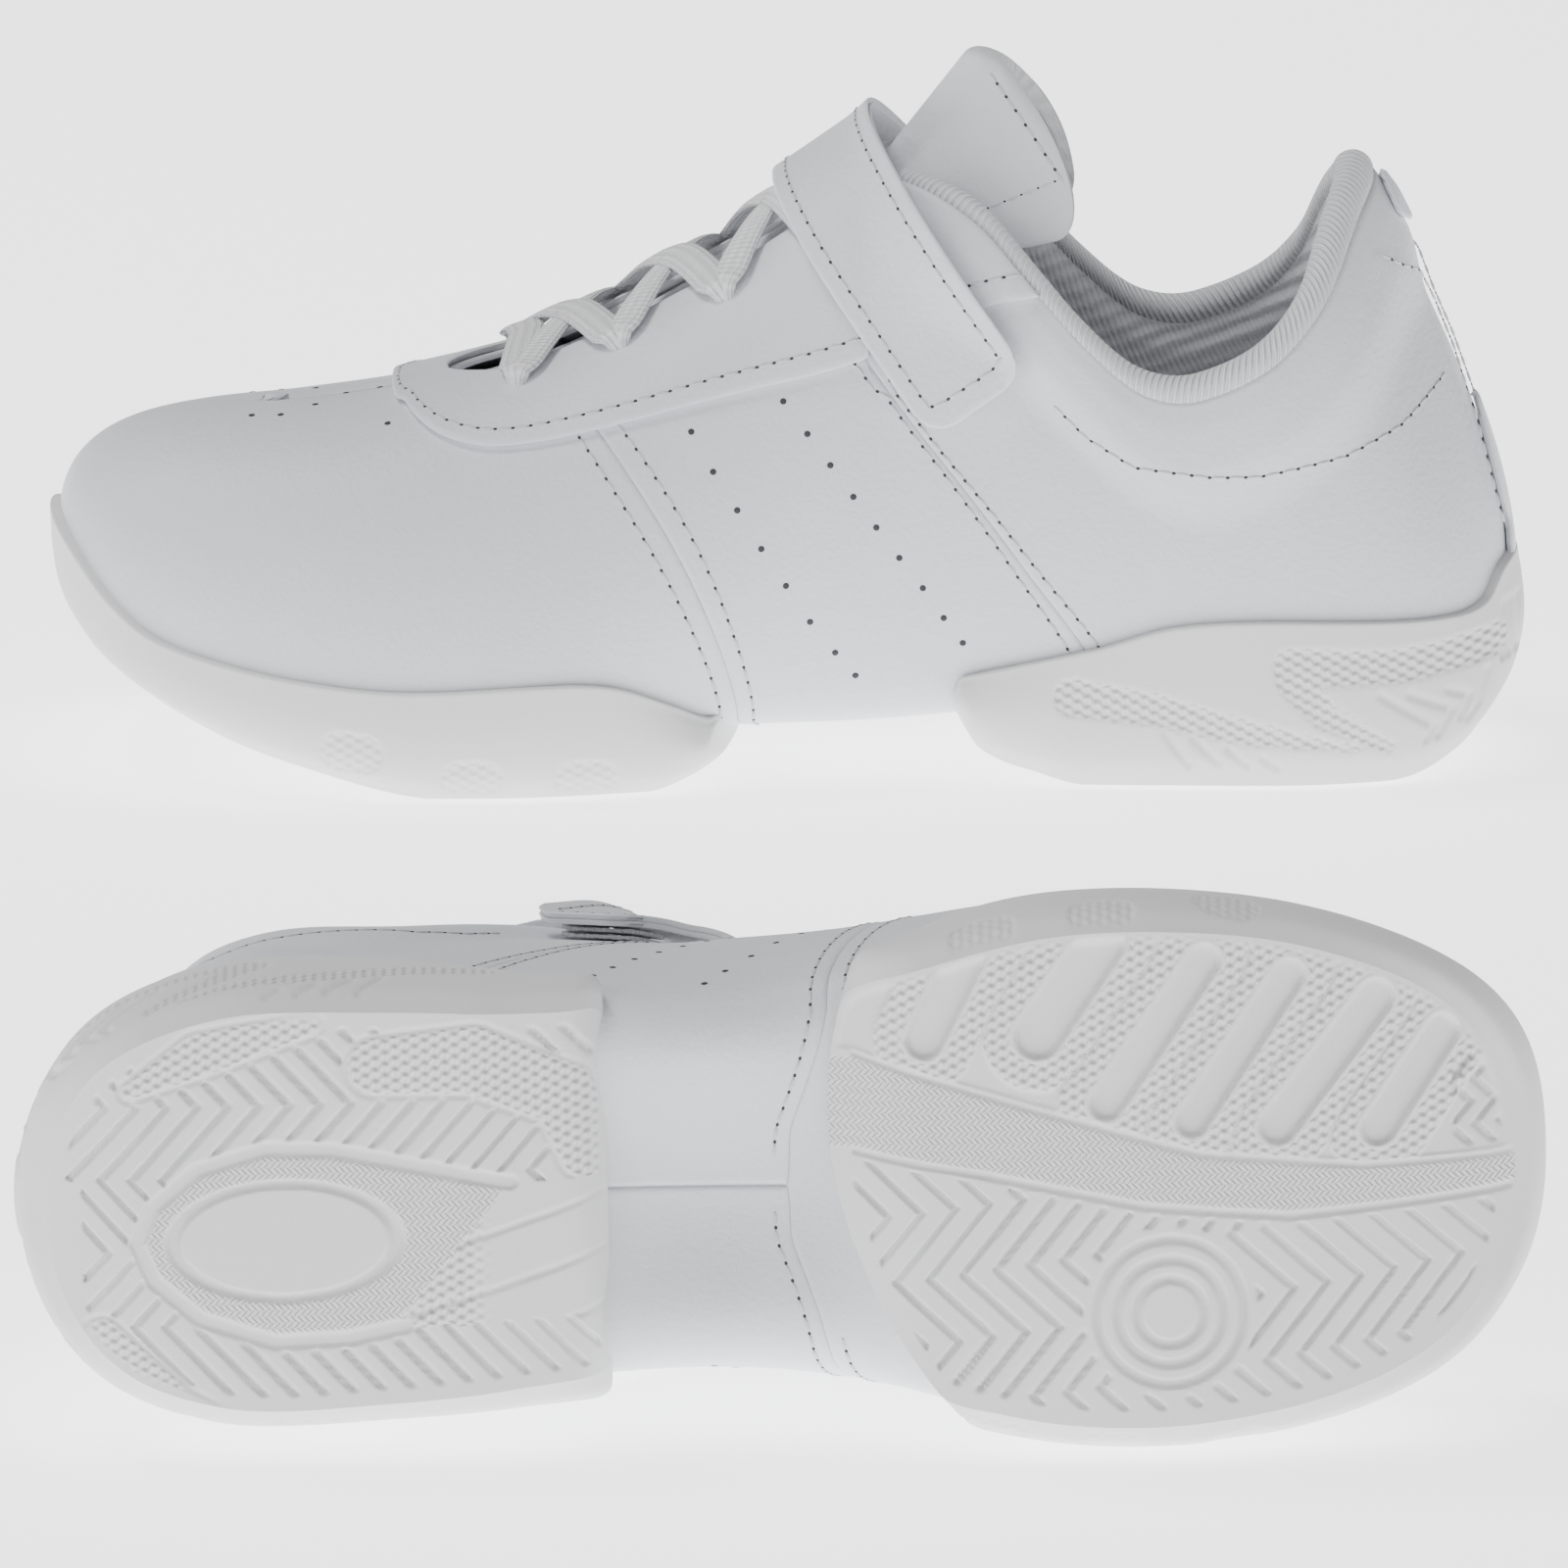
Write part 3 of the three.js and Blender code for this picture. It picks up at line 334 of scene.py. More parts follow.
class Finish:
    def __init__(self, name, roughness=0.5, **constants):
        self.material = bpy.data.materials.new(name)
        self.material.use_nodes = True
        self.tree = self.material.node_tree
        self.shader = self.tree.nodes["Principled BSDF"]
        self.shader.inputs["Roughness"].default_value = roughness
        for socket, value in constants.items():
            self.shader.inputs[socket.replace("_", " ")].default_value = value

    def link(self, value, socket):
        if isinstance(value, Value):
            self.tree.links.new(value.socket, socket)
        else:
            socket.default_value = value

    def node(self, kind, settings=None, sockets=None, output=0):
        made = self.tree.nodes.new(kind)
        for name, value in (settings or {}).items():
            if name == "stops":
                made.color_ramp.elements[0].position = value[0][0]
                made.color_ramp.elements[0].color = value[0][1]
                made.color_ramp.elements[1].position = value[1][0]
                made.color_ramp.elements[1].color = value[1][1]
            else:
                setattr(made, name, value)
        for name, value in (sockets or {}).items():
            self.link(value, made.inputs[name])
        return Value(self, made.outputs[output])

    def place(self):
        return self.node("ShaderNodeTexCoord", output=3)

    def way(self):
        return self.node("ShaderNodeAttribute", {"attribute_name": "way"}, output=1)

    def parts(self, vector):
        separate = self.tree.nodes.new("ShaderNodeSeparateXYZ")
        self.link(vector, separate.inputs[0])
        return [Value(self, separate.outputs[i]) for i in range(3)]

    def wave(self, value):
        return self.node("ShaderNodeMath", {"operation": "SINE"}, {0: value})

    def noise(self, vector, scale, detail=3.0, rough=0.55):
        sockets = {"Vector": vector, "Scale": scale, "Detail": detail, "Roughness": rough}
        return self.node("ShaderNodeTexNoise", None, sockets)

    def colour(self, factor, low, high):
        mixed = self.node("ShaderNodeMix", {"data_type": "RGBA"}, {0: factor, 6: low, 7: high}, output=2)
        self.link(mixed, self.shader.inputs["Base Color"])

    def bump(self, height, distance, strength=1.0):
        sockets = {"Height": height, "Distance": distance, "Strength": strength}
        self.link(self.node("ShaderNodeBump", None, sockets), self.shader.inputs["Normal"])

    def done(self, **links):
        for socket, value in links.items():
            self.link(value, self.shader.inputs[socket])
        return self.material


# The upper's leather: white, coated, with a fine creased pebble grain and a soft sheen.
WHITE, COOL = (0.76, 0.77, 0.80, 1), (0.67, 0.685, 0.725, 1)


def leather_finish(name, grain=1.0, white=WHITE, cool=COOL):
    f = Finish(name, 0.5, Coat_Weight=0.06, Coat_Roughness=0.35, Specular_IOR_Level=0.4)
    at = f.place()
    bent = f.node("ShaderNodeVectorMath", {"operation": "MULTIPLY_ADD"},
                  {0: f.noise(at, 420, 2), 1: (0.0012, 0.0012, 0.0012), 2: at})
    cells = f.node("ShaderNodeTexVoronoi", {"feature": "SMOOTH_F1"},
                   {"Vector": bent, "Scale": 820.0, "Smoothness": 0.6, "Randomness": 1.0})
    creases = f.noise(bent, 1500, 4, 0.6)
    waves = f.noise(at, 60, 2)
    pebbles = cells * -0.9 + creases * 0.8
    f.colour(waves * 0.55 + creases * 0.25, cool, white)
    f.bump(pebbles * grain + waves * 0.8, 0.00016, 0.55)
    return f.done(Roughness=0.36 + creases * 0.22 + waves * 0.08)


LEATHER = leather_finish("white pebbled leather")


# ---- Upper: vamp, saddle and quarters ----
# Three leather sections sewn edge to edge round the foot. The saddle runs under the arch between the
# two sole units, with one seam along its middle; each edge is rounded where the stitching pulls it in.
LEATHER_OUT = 4.0
FRONT_LINE = curve([
    (8, 143), (17.5, 144.5), (30, 148.5), (45, 155.5), (58, 164), (66, 171), (80, 186), (100, 210),
])
REAR_LINE = curve([(8, 72), (25, 79), (40, 90), (55, 101.5), (66, 110.5), (78, 120), (95, 133), (115, 146)])


def front_seam(p):
    return FRONT_LINE(p[:, 2]) - 12 * smooth(21, 16, p[:, 2]) * np.maximum(0, 1 - np.abs(p[:, 1]) / 30)


def rear_seam(p):
    return REAR_LINE(p[:, 2])


STATION_WAY, HEIGHT_WAY = 24, 90  # millimetres of pattern from one station to the next, and up the side


def pattern(k, v):
    return np.c_[k * STATION_WAY, v * HEIGHT_WAY]


def height_at(k, t, side):
    return np.where(t < 0, t, t * top_edge(k, side))


def seam_station(t, side, seam, low, high):
    """The station where a seam passes each row of the upper."""
    rows, back_to = np.unique(t, return_inverse=True)

    def past(k):
        p = last(k, height_at(k, rows, side), side)
        return p[:, 0] > seam(p)

    return solve(rows * 0 + low, rows * 0 + high, past)[back_to]


def section(shoe, part, side, depth, low=0.0, inside=False, across=120, up=80, rounding=0.5):
    """One side of the vamp, the saddle or the quarter, as a patch at a depth out from the last."""

    def place(s, t):
        t = mix(low, 1, t)
        s = 0.5 - 0.5 * np.cos(math.pi * s)
        begin = seam_station(t, side, front_seam, 4.2, 9) if part == "vamp" else 0 * t
        end = TIP + 0 * t
        if part == "saddle":
            begin = seam_station(t, side, rear_seam, 1.2, 7)
            end = seam_station(t, side, front_seam, 4.2, 9)
        if part == "quarter":
            end = seam_station(t, side, rear_seam, 1.2, 7)
        k = mix(begin, end, s)
        v = height_at(k, t, side)
        p = last(k, v, side)
        near = np.full(len(s), 9.0)
        if part != "quarter":
            near = np.minimum(near, np.abs(p[:, 0] - front_seam(p)) * 0.85)
        if part != "vamp":
            near = np.minimum(near, np.abs(p[:, 0] - rear_seam(p)) * 0.85)
        if part == "saddle" and low < -0.5:
            near = np.minimum(near, np.where(v < -0.2, np.abs(p[:, 1]), 9))
        drop = rounding * (1 - np.sqrt(1 - (1 - np.clip(near / 1.0, 0, 1)) ** 2))
        points, n = skin(k, v, side, depth - drop, inside)
        return points, n, pattern(k, v)

    return patch(shoe, across, up, place)


for shoe in PLACES:
    for part, low in (("vamp", -1.0), ("saddle", -1.0), ("quarter", -1.0)):
        across = {"vamp": 150, "saddle": 110, "quarter": 130}[part]
        up = {"vamp": 90, "saddle": 150, "quarter": 96}[part]
        halves = [section(shoe, part, side, LEATHER_OUT, low, across=across, up=up) for side in (1, -1)]
        if part == "vamp":
            piece = finished(f"{shoe}_vamp_leather", halves, LEATHER, 1.3)
            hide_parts(f"{shoe}_vamp")
            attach(piece, f"{shoe}_forefoot")
            continue
        for half, name in zip(halves, ("outer", "inner")):
            piece = finished(f"{shoe}_{part}_{name}_leather", [half], LEATHER, 1.3)
            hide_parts(f"{shoe}_{part}_{name}")
            if part == "saddle":
                flexes(piece, shoe)
            else:
                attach(piece, f"{shoe}_heel")


# ---- Linings, insole and stiffeners ----
# A ribbed knit lines the upper, over a felt toe puff and heel counter; a thicker knit-covered insole
# lies on the lasting board.
def knit_finish(name, rib, ribs, white=(0.84, 0.845, 0.87, 1), cool=(0.70, 0.715, 0.75, 1)):
    f = Finish(name, 0.85, Sheen_Weight=0.25, Specular_IOR_Level=0.25)
    at = f.place()
    x, y, _ = f.parts(f.way())
    turns = 2 * math.pi / rib
    wobble = f.noise(at, 260, 2)
    ridge = f.wave((x * ribs[0] + y * ribs[1]) * turns + wobble * 1.6)
    loops = f.wave((y * ribs[0] - x * ribs[1]) * (turns * 2.2)) * 0.3
    fuzz = f.noise(at, 2600, 3)
    height = ridge + loops + fuzz * 0.7
    f.colour(ridge * 0.3 + 0.45 + fuzz * 0.25, cool, white)
    f.bump(height, 0.00022, 0.8)
    return f.done()


LINING_KNIT = knit_finish("ribbed lining knit", 2.3, (0.35, 1.0))
INSOLE_KNIT = knit_finish("smooth insole knit", 1.1, (1.0, 0.0))


def felt_finish(name, low, high):
    f = Finish(name, 0.92, Specular_IOR_Level=0.2)
    fibres = f.noise(f.place(), 1400, 5, 0.7)
    f.colour(fibres, low, high)
    f.bump(fibres, 0.0002, 0.6)
    return f.done()


FELT = felt_finish("stiff felt", (0.62, 0.60, 0.55, 1), (0.82, 0.80, 0.75, 1))
FOAM = felt_finish("collar foam", (0.80, 0.80, 0.74, 1), (0.93, 0.93, 0.88, 1))
LINING_OUT = 1.2
STIFFENER_OUT = 2.2
INSOLE_TOP = -0.2


def region(shoe, k_from, k_to, v_from, v_to, depth):
    """Both sides of a layer between two stations and two heights, at a depth out from the last."""
    def place_on(side):
        def place(s, t):
            k = mix(k_from, k_to, s)
            v = mix(v_from, v_to, t)
            v = np.where(v > 0, v * top_edge(k, side), v)
            p, n = skin(k, v, side + 0 * k, depth)
            return p, n, pattern(k, v)
        return place
    return [patch(shoe, 60, 24, place_on(side)) for side in (1, -1)]


def foam_on(side):
    """The collar's padding, rolled over its edge from the outside to the inside."""
    def place(s, t):
        k = 4 * s
        top = top_edge(k, side)
        outside = t < 0.5
        v = mix(top, 0.62 * top, np.abs(t - 0.5) * 2)
        p, n = skin(k, v, side + 0 * k, 2.1)
        q, m = skin(k, v, side + 0 * k, 1.9, True)
        points = np.where(outside[:, None], p, q)
        return points, np.where(outside[:, None], n, -m), np.c_[k * STATION_WAY, t * 40]
    return place


for shoe in PLACES:
    lining = [section(shoe, "vamp", side, LINING_OUT, 0, across=70, up=40, rounding=0) for side in (1, -1)]
    piece = finished(f"{shoe}_vamp_lining_knit", lining, LINING_KNIT, 0.9)
    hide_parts(f"{shoe}_vamp_lining")
    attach(piece, f"{shoe}_forefoot")
    for side, name in ((1, "outer"), (-1, "inner")):
        lining = [section(shoe, "saddle", side, LINING_OUT, 0, True, across=50, up=50, rounding=0)]
        piece = finished(f"{shoe}_saddle_lining_{name}_knit", lining, LINING_KNIT, 0.9)
        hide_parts(f"{shoe}_saddle_lining_{name}")
        flexes(piece, shoe)
    lining = [section(shoe, "quarter", side, LINING_OUT, 0, True, across=130, up=100, rounding=0)
              for side in (1, -1)]
    piece = finished(f"{shoe}_quarter_lining_knit", lining, LINING_KNIT, 0.9)
    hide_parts(f"{shoe}_quarter_lining")
    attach(piece, f"{shoe}_heel")

    felt = region(shoe, 9.5, TIP, 0, 0.74, STIFFENER_OUT)
    piece = finished(f"{shoe}_toe_puff_felt", felt, FELT, 0.6)
    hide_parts(f"{shoe}_toe_puff")
    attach(piece, f"{shoe}_forefoot")
    felt = region(shoe, 0, 2.4, 0, 0.34, STIFFENER_OUT)
    piece = finished(f"{shoe}_heel_counter_felt", felt, FELT, 0.6)
    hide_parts(f"{shoe}_heel_counter")
    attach(piece, f"{shoe}_heel")
    bed = region(shoe, 0.45, 10.3, -1, -0.2, INSOLE_TOP)
    piece = finished(f"{shoe}_insole_knit", bed, INSOLE_KNIT, 3.6)
    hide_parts(f"{shoe}_insole")
    flexes(piece, shoe)
    bed = region(shoe, 0.2, 10.8, -1, -0.26, STIFFENER_OUT)
    piece = finished(f"{shoe}_lasting_board_felt", bed, FELT, 1.7)
    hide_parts(f"{shoe}_lasting_board")
    flexes(piece, shoe)

    roll = [patch(shoe, 60, 24, foam_on(side)) for side in (1, -1)]
    piece = finished(f"{shoe}_collar_padding", roll, FOAM)
    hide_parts(f"{shoe}_collar_foam")
    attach(piece, f"{shoe}_heel")


# ---- Collar binding ----
# A ribbed knit band rolled over the top of the collar and sewn down on both sides.
def binding_finish():
    f = Finish("ribbed binding knit", 0.8, Sheen_Weight=0.3, Specular_IOR_Level=0.25)
    x, y, _ = f.parts(f.way())
    fuzz = f.noise(f.place(), 2400, 3)
    ridge = f.wave((x + y * 0.45) * (2 * math.pi / 1.25) + fuzz * 0.9)
    f.colour(ridge * 0.35 + 0.4 + fuzz * 0.3, (0.66, 0.675, 0.71, 1), (0.88, 0.885, 0.905, 1))
    f.bump(ridge + fuzz * 0.6, 0.00028, 0.9)
    return f.done()


BINDING = binding_finish()


def rolled(shoe, side):
    length = np.linspace(0, 4.7, 400)
    line = last(length, top_edge(length, side), side)
    run = np.r_[0, np.cumsum(np.linalg.norm(np.diff(line, axis=0), axis=1))]

    def place(s, t):
        k = np.interp(s * run[-1], run, length)
        top = top_edge(k, side)
        n = facing(k, top, side)
        edge = last(k, top, side)
        rise = last(k, top + 0.01, side) - last(k, top - 0.01, side)
        rise /= np.linalg.norm(rise, axis=1, keepdims=True)
        slim = smooth(3.6, 4.6, k)
        low, high = mix(-1.7, 0.2, slim), mix(5.7, 4.6, slim)
        angle = mix(-0.22, 1.22, t) * math.pi
        out = (low + high) / 2 + (high - low) / 2 * np.cos(angle)
        up = 1.0 + mix(3.6, 2.4, slim) * np.sin(angle)
        p = edge + n * out[:, None] + rise * up[:, None]
        facing_out = n * np.cos(angle)[:, None] + rise * np.sin(angle)[:, None]
        return p, facing_out, np.c_[s * run[-1], t * 13]

    return patch(shoe, 260, 18, place)


for shoe in PLACES:
    roll = [rolled(shoe, 1), rolled(shoe, -1)]
    piece = finished(f"{shoe}_collar_binding_knit", roll, BINDING, weld=6e-5)
    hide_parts(f"{shoe}_collar_binding")
    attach(piece, f"{shoe}_heel")


# ---- Overlays: eyestay and backstay ----
# Thicker leather strips stitched on top of the upper, with cut edges that show.
EYESTAY_LOW = curve([
    (84, 91), (99, 87.5), (122, 77), (148, 69), (171, 62), (186, 59), (196, 59.5), (203, 62.5), (207, 67),
    (209, 90),
])
OVERLAY_OUT = 5.6


def eyestay_low(k, side):
    """Where the eyestay's lower edge passes each station."""
    def above(v):
        p = last(k, v, side)
        return p[:, 2] > EYESTAY_LOW(p[:, 0])

    return solve(k * 0 + 0.2, top_edge(k, side), above)


def overlay(depth, place_kv, round_at=1.0):
    def place(s, t):
        k, v, side, near = place_kv(s, t)
        drop = 0.7 * (1 - np.sqrt(1 - (1 - np.clip(near / round_at, 0, 1)) ** 2))
        p, n = skin(k, v, side, depth - drop)
        return p, n, pattern(k, v)
    return place


def eyestay_half(side):
    def place_kv(s, t):
        k = mix(3.35, 8.74, s)
        low = eyestay_low(k, side)
        top = top_edge(k, side)
        t = 0.5 - 0.5 * np.cos(math.pi * t)
        v = mix(low, top, t)
        width = (top - low) * 62
        throat = np.where(k < THROAT_FRONT, (1 - t) * width, 9)
        return k, v, side + 0 * k, np.minimum(t * width, throat) + 0.05
    return place_kv


def backstay_half(side):
    edge = curve([(38, 7), (43, 7.5), (62, 12.5), (75, 17), (90, 23), (98, 29), (112, 34)])

    def place_kv(s, t):
        t = mix(0.17, 0.995, t)
        rows, back_to = np.unique(t, return_inverse=True)

        def past(k):
            p = last(k, rows * top_edge(k, side), side)
            return p[:, 0] > edge(p[:, 2])

        reach = solve(rows * 0, rows * 0 + 1.75, past)
        s = np.sin(s * math.pi / 2)
        k = s * reach[back_to]
        return k, t * top_edge(k, side), side + 0 * k, (1 - s) * reach[back_to] * 22 + 0.05
    return place_kv


for shoe in PLACES:
    halves = [patch(shoe, 220, 44, overlay(OVERLAY_OUT, eyestay_half(side))) for side in (1, -1)]
    piece = finished(f"{shoe}_eyestay_leather", halves, LEATHER, 1.4)
    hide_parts(f"{shoe}_eyestay")
    flexes(piece, shoe)
    halves = [patch(shoe, 40, 120, overlay(OVERLAY_OUT, backstay_half(side))) for side in (1, -1)]
    piece = finished(f"{shoe}_backstay_leather", halves, LEATHER, 1.3)
    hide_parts(f"{shoe}_backstay")
    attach(piece, f"{shoe}_heel")


# ---- Tongue ----
# A leather face over foam, lined with knit, sewn in at its front end and free at the ankle.
TONGUE_HALF = curve([(5, 25), (6, 21), (7, 17), (8.25, 12)])


def tongue_point(u, a):
    k = mix(8.25, 5, np.minimum(u / 0.62, 1))
    side = np.where(a < 0, -1, 1)
    rate = np.linalg.norm(last(k, k * 0 + 1, side) - last(k, k * 0 + 0.98, side), axis=1) / 0.02
    p = last(k, 1 - np.abs(a) * TONGUE_HALF(k) / rate, side)
    past = (np.maximum(u - 0.62, 0) / 0.38)[:, None]
    end = np.stack([98 - 24 * a * a, (24 - 3 * a * a) * a, 131 - 30 * np.abs(a) ** 2.4], 1)
    return p + (end - p) * past


def tongue_normal(u, a):
    along = tongue_point(np.minimum(u + 0.01, 1), a) - tongue_point(np.maximum(u - 0.01, 0), a)
    across = tongue_point(u, np.minimum(a + 0.01, 1)) - tongue_point(u, np.maximum(a - 0.01, -1))
    n = np.cross(along, across)
    n /= np.linalg.norm(n, axis=1, keepdims=True)
    n[np.abs(a) < 1e-6, 1] = 0
    return np.where(n[:, 2:] < 0, -n, n)


def tongue_sheet(outer, inner):
    """The tongue at a depth that runs from outer in its middle to inner at its rounded edge."""
    def place(s, t):
        a = np.sin((t - 0.5) * math.pi)
        corner = 1 - np.sqrt(1 - np.clip((np.abs(a) - 0.55) / 0.45, 0, 1) ** 2)
        s = np.sin(s * math.pi / 2) * (1 - 0.1 * corner)
        n = tongue_normal(s, a)
        rim = np.clip(np.minimum(1 - np.abs(a), (1 - s) * 2.6) / 0.13, 0, 1)
        bulge = 3.4 * smooth(0.06, 0.18, s) * smooth(0.3, 0.05, np.abs(a)) * (outer > -5)
        depth = mix(inner, outer + bulge, np.sqrt(1 - (1 - rim) ** 2))
        points = tongue_point(s, a) + n * depth[:, None]
        return points, n * (1 if outer > inner else -1), np.c_[s * 120, a * 24]
    return place


for shoe in PLACES:
    sheet = patch(shoe, 130, 90, tongue_sheet(-1.2, -3.6))
    piece = finished(f"{shoe}_tongue_leather", [sheet], LEATHER)
    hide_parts(f"{shoe}_tongue_face")
    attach(piece, f"{shoe}_tongue")
    sheet = patch(shoe, 90, 60, tongue_sheet(-6.9, -3.6))
    piece = finished(f"{shoe}_tongue_lining_knit", [sheet], LINING_KNIT)
    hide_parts(f"{shoe}_tongue_lining")
    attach(piece, f"{shoe}_tongue")
    pads = [patch(shoe, 40, 30, tongue_sheet(-2.4, -3.7)), patch(shoe, 40, 30, tongue_sheet(-6.0, -3.7))]
    piece = finished(f"{shoe}_tongue_pad", pads, FOAM)
    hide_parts(f"{shoe}_tongue_padding")
    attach(piece, f"{shoe}_tongue")


# ---- Instep strap ----
# Two leathers stitched back to back. One end is sewn on the inner side of the foot; the free end holds
# with hook and loop tape on the outer side.
STRAP_TIP, STRAP_WAY = np.array([99.1, 72.0]), np.array([0.58, 0.815])
STRAP_HALF, STRAP_CORNER, STRAP_ROOT = 10.9, 6.0, -13.0


def strap_line(over, depth):
    """The strap's run at a distance across it, from the free end over the crest to the sewn end."""
    w = np.linspace(-0.76, 0.76, 240)
    v, side = 1 - np.abs(w), np.where(w < 0, 1, -1)

    def out(k):
        p, _ = skin(k, v, side, depth)
        return p + facing(k, v, side) * (2.8 * smooth(0.5, 0.75, v))[:, None]

    def across(k):
        q = out(k)[:, [0, 2]] - STRAP_TIP
        return (q[:, 0] * STRAP_WAY[1] - q[:, 1] * STRAP_WAY[0]) > over

    k = solve(w * 0 + 2.4, w * 0 + 6.9, across)
    p = out(k)
    along = (p[:, [0, 2]] - STRAP_TIP) @ STRAP_WAY
    corner = STRAP_HALF - STRAP_CORNER
    cut = STRAP_CORNER - math.sqrt(max(STRAP_CORNER**2 - max(abs(over) - corner, 0) ** 2, 0))
    first, second = w < -0.1, w > 0.1
    w0 = np.interp(cut, along[first], w[first])
    w1 = np.interp(-STRAP_ROOT, -along[second], w[second])
    ws = np.linspace(w0, w1, 200)
    line = np.stack([np.interp(ws, w, p[:, i]) for i in range(3)], 1)
    ks = np.interp(ws, w, k)
    return line, facing(ks, 1 - np.abs(ws), np.where(ws < 0, 1, -1))


def strap_grid(depth):
    runs = [strap_line(over, depth) for over in np.linspace(-STRAP_HALF, STRAP_HALF, 25)]
    return np.array([r[0] for r in runs]), np.array([r[1] for r in runs])


def read(grid, over, step):
    """The grid's value at a place across and a step along, between its lines."""
    i = np.clip((over + STRAP_HALF) / (2 * STRAP_HALF) * 24, 0, 23.999)
    j = np.clip(step * 199, 0, 198.999)
    a, b = i.astype(int), j.astype(int)
    u, w = (i - a)[:, None], (j - b)[:, None]
    return ((grid[a, b] * (1 - u) + grid[a + 1, b] * u) * (1 - w)
            + (grid[a, b + 1] * (1 - u) + grid[a + 1, b + 1] * u) * w)


STRAP_TOP, STRAP_UNDER = 8.9, 7.8  # the outer faces of its two leathers, out from the last
STRAP_LENGTH = 130  # for its pattern and its rounded edge
STRAP_LINES = {depth: strap_grid(depth) for depth in (STRAP_TOP, STRAP_UNDER)}


def strap_layer(depth):
    lines, normals = STRAP_LINES[depth]

    def place(s, t):
        t = 0.5 - 0.5 * np.cos(math.pi * t)
        step = 0.5 - 0.5 * np.cos(math.pi * s)
        over = mix(-STRAP_HALF, STRAP_HALF, t)
        p, n = read(lines, over, step), read(normals, over, step)
        n /= np.linalg.norm(n, axis=1, keepdims=True)
        near = np.minimum(STRAP_HALF - np.abs(over), step * STRAP_LENGTH) + 0.02
        drop = 0.45 * (1 - np.sqrt(1 - (1 - np.clip(near / 0.7, 0, 1)) ** 2))
        return p - n * drop[:, None], n, np.c_[step * STRAP_LENGTH, over]
    return place


def strap_end(shoe):
    """The places behind and ahead of the crest between which the strap bends, in the world."""
    return to_world(shoe, np.array([[128.0, 4.0, 112.0], [128.0, -4.0, 112.0]]))


STRAP_LEATHER = leather_finish("strap leather", 1.25, (0.78, 0.79, 0.815, 1), (0.69, 0.705, 0.74, 1))


def tape_finish():
    f = Finish("hook and loop tape", 0.8, Sheen_Weight=0.3)
    at = f.place()
    hooks = f.node("ShaderNodeTexVoronoi", {"feature": "F1"}, {"Vector": at, "Scale": 1500.0})
    f.colour(hooks, (0.90, 0.90, 0.91, 1), (0.66, 0.66, 0.68, 1))
    f.bump(1 - hooks, 0.0004, 0.9)
    return f.done()


TAPE = tape_finish()
for shoe in PLACES:
    for layer, depth, thick in (("top", STRAP_TOP, 1.05), ("under", STRAP_UNDER, 1.0)):
        mesh = patch(shoe, 220, 30, strap_layer(depth))
        piece = finished(f"{shoe}_strap_{layer}", [mesh], STRAP_LEATHER, thick)
        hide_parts(*([f"{shoe}_strap", f"{shoe}_strap_anchor"] if layer == "top" else []))
        near_end, far_end = strap_end(shoe)
        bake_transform(piece)
    for name, body, offset in (("loop_patch", "heel", 4.3), ("hook_patch", "strap", 5.5)):
        lines, normals = STRAP_LINES[STRAP_UNDER]

        def place(s, t, offset=offset):
            over, step = mix(-7.3, 7.3, t), mix(0.03, 0.085, s)
            n = read(normals, over, step)
            return read(lines, over, step) + n * (offset + 0.9 - STRAP_UNDER), n, np.c_[s * 9, over]

        piece = finished(f"{shoe}_{name}_tape", [patch(shoe, 16, 24, place)], TAPE, 0.7)
        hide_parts(f"{shoe}_{name}")
        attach(piece, f"{shoe}_{body}")


# ---- Lace ----
# A flat elastic braid, crossed over the tongue and ending in the eyelets, with no bow.
def lace_finish():
    f = Finish("elastic braid", 0.75, Sheen_Weight=0.2)
    x, y, _ = f.parts(f.way())
    left = f.wave(x * 4.2 + y * 2.6)
    right = f.wave(x * 4.2 - y * 2.6)
    fuzz = f.noise(f.place(), 2600, 3)
    f.colour(left * right * 0.35 + 0.5 + fuzz * 0.2, (0.70, 0.71, 0.74, 1), (0.90, 0.905, 0.92, 1))
    f.bump(left * right + fuzz * 0.5, 0.0003, 1.0)
    return f.done()


BRAID = lace_finish()
EYELETS = []
for x in (181, 162, 143, 125):
    for side in (1, -1):
        k = solve([4.0], [THROAT_FRONT], lambda q: last(q, top_edge(q, side), side)[:, 0] > x)
        edge = top_edge(k, side)
        rate = np.linalg.norm(last(k, edge, side) - last(k, edge - 0.02, side)) / 0.02
        EYELETS.append((float(k[0]), float(side * (1 - edge[0] + 7.5 / rate))))


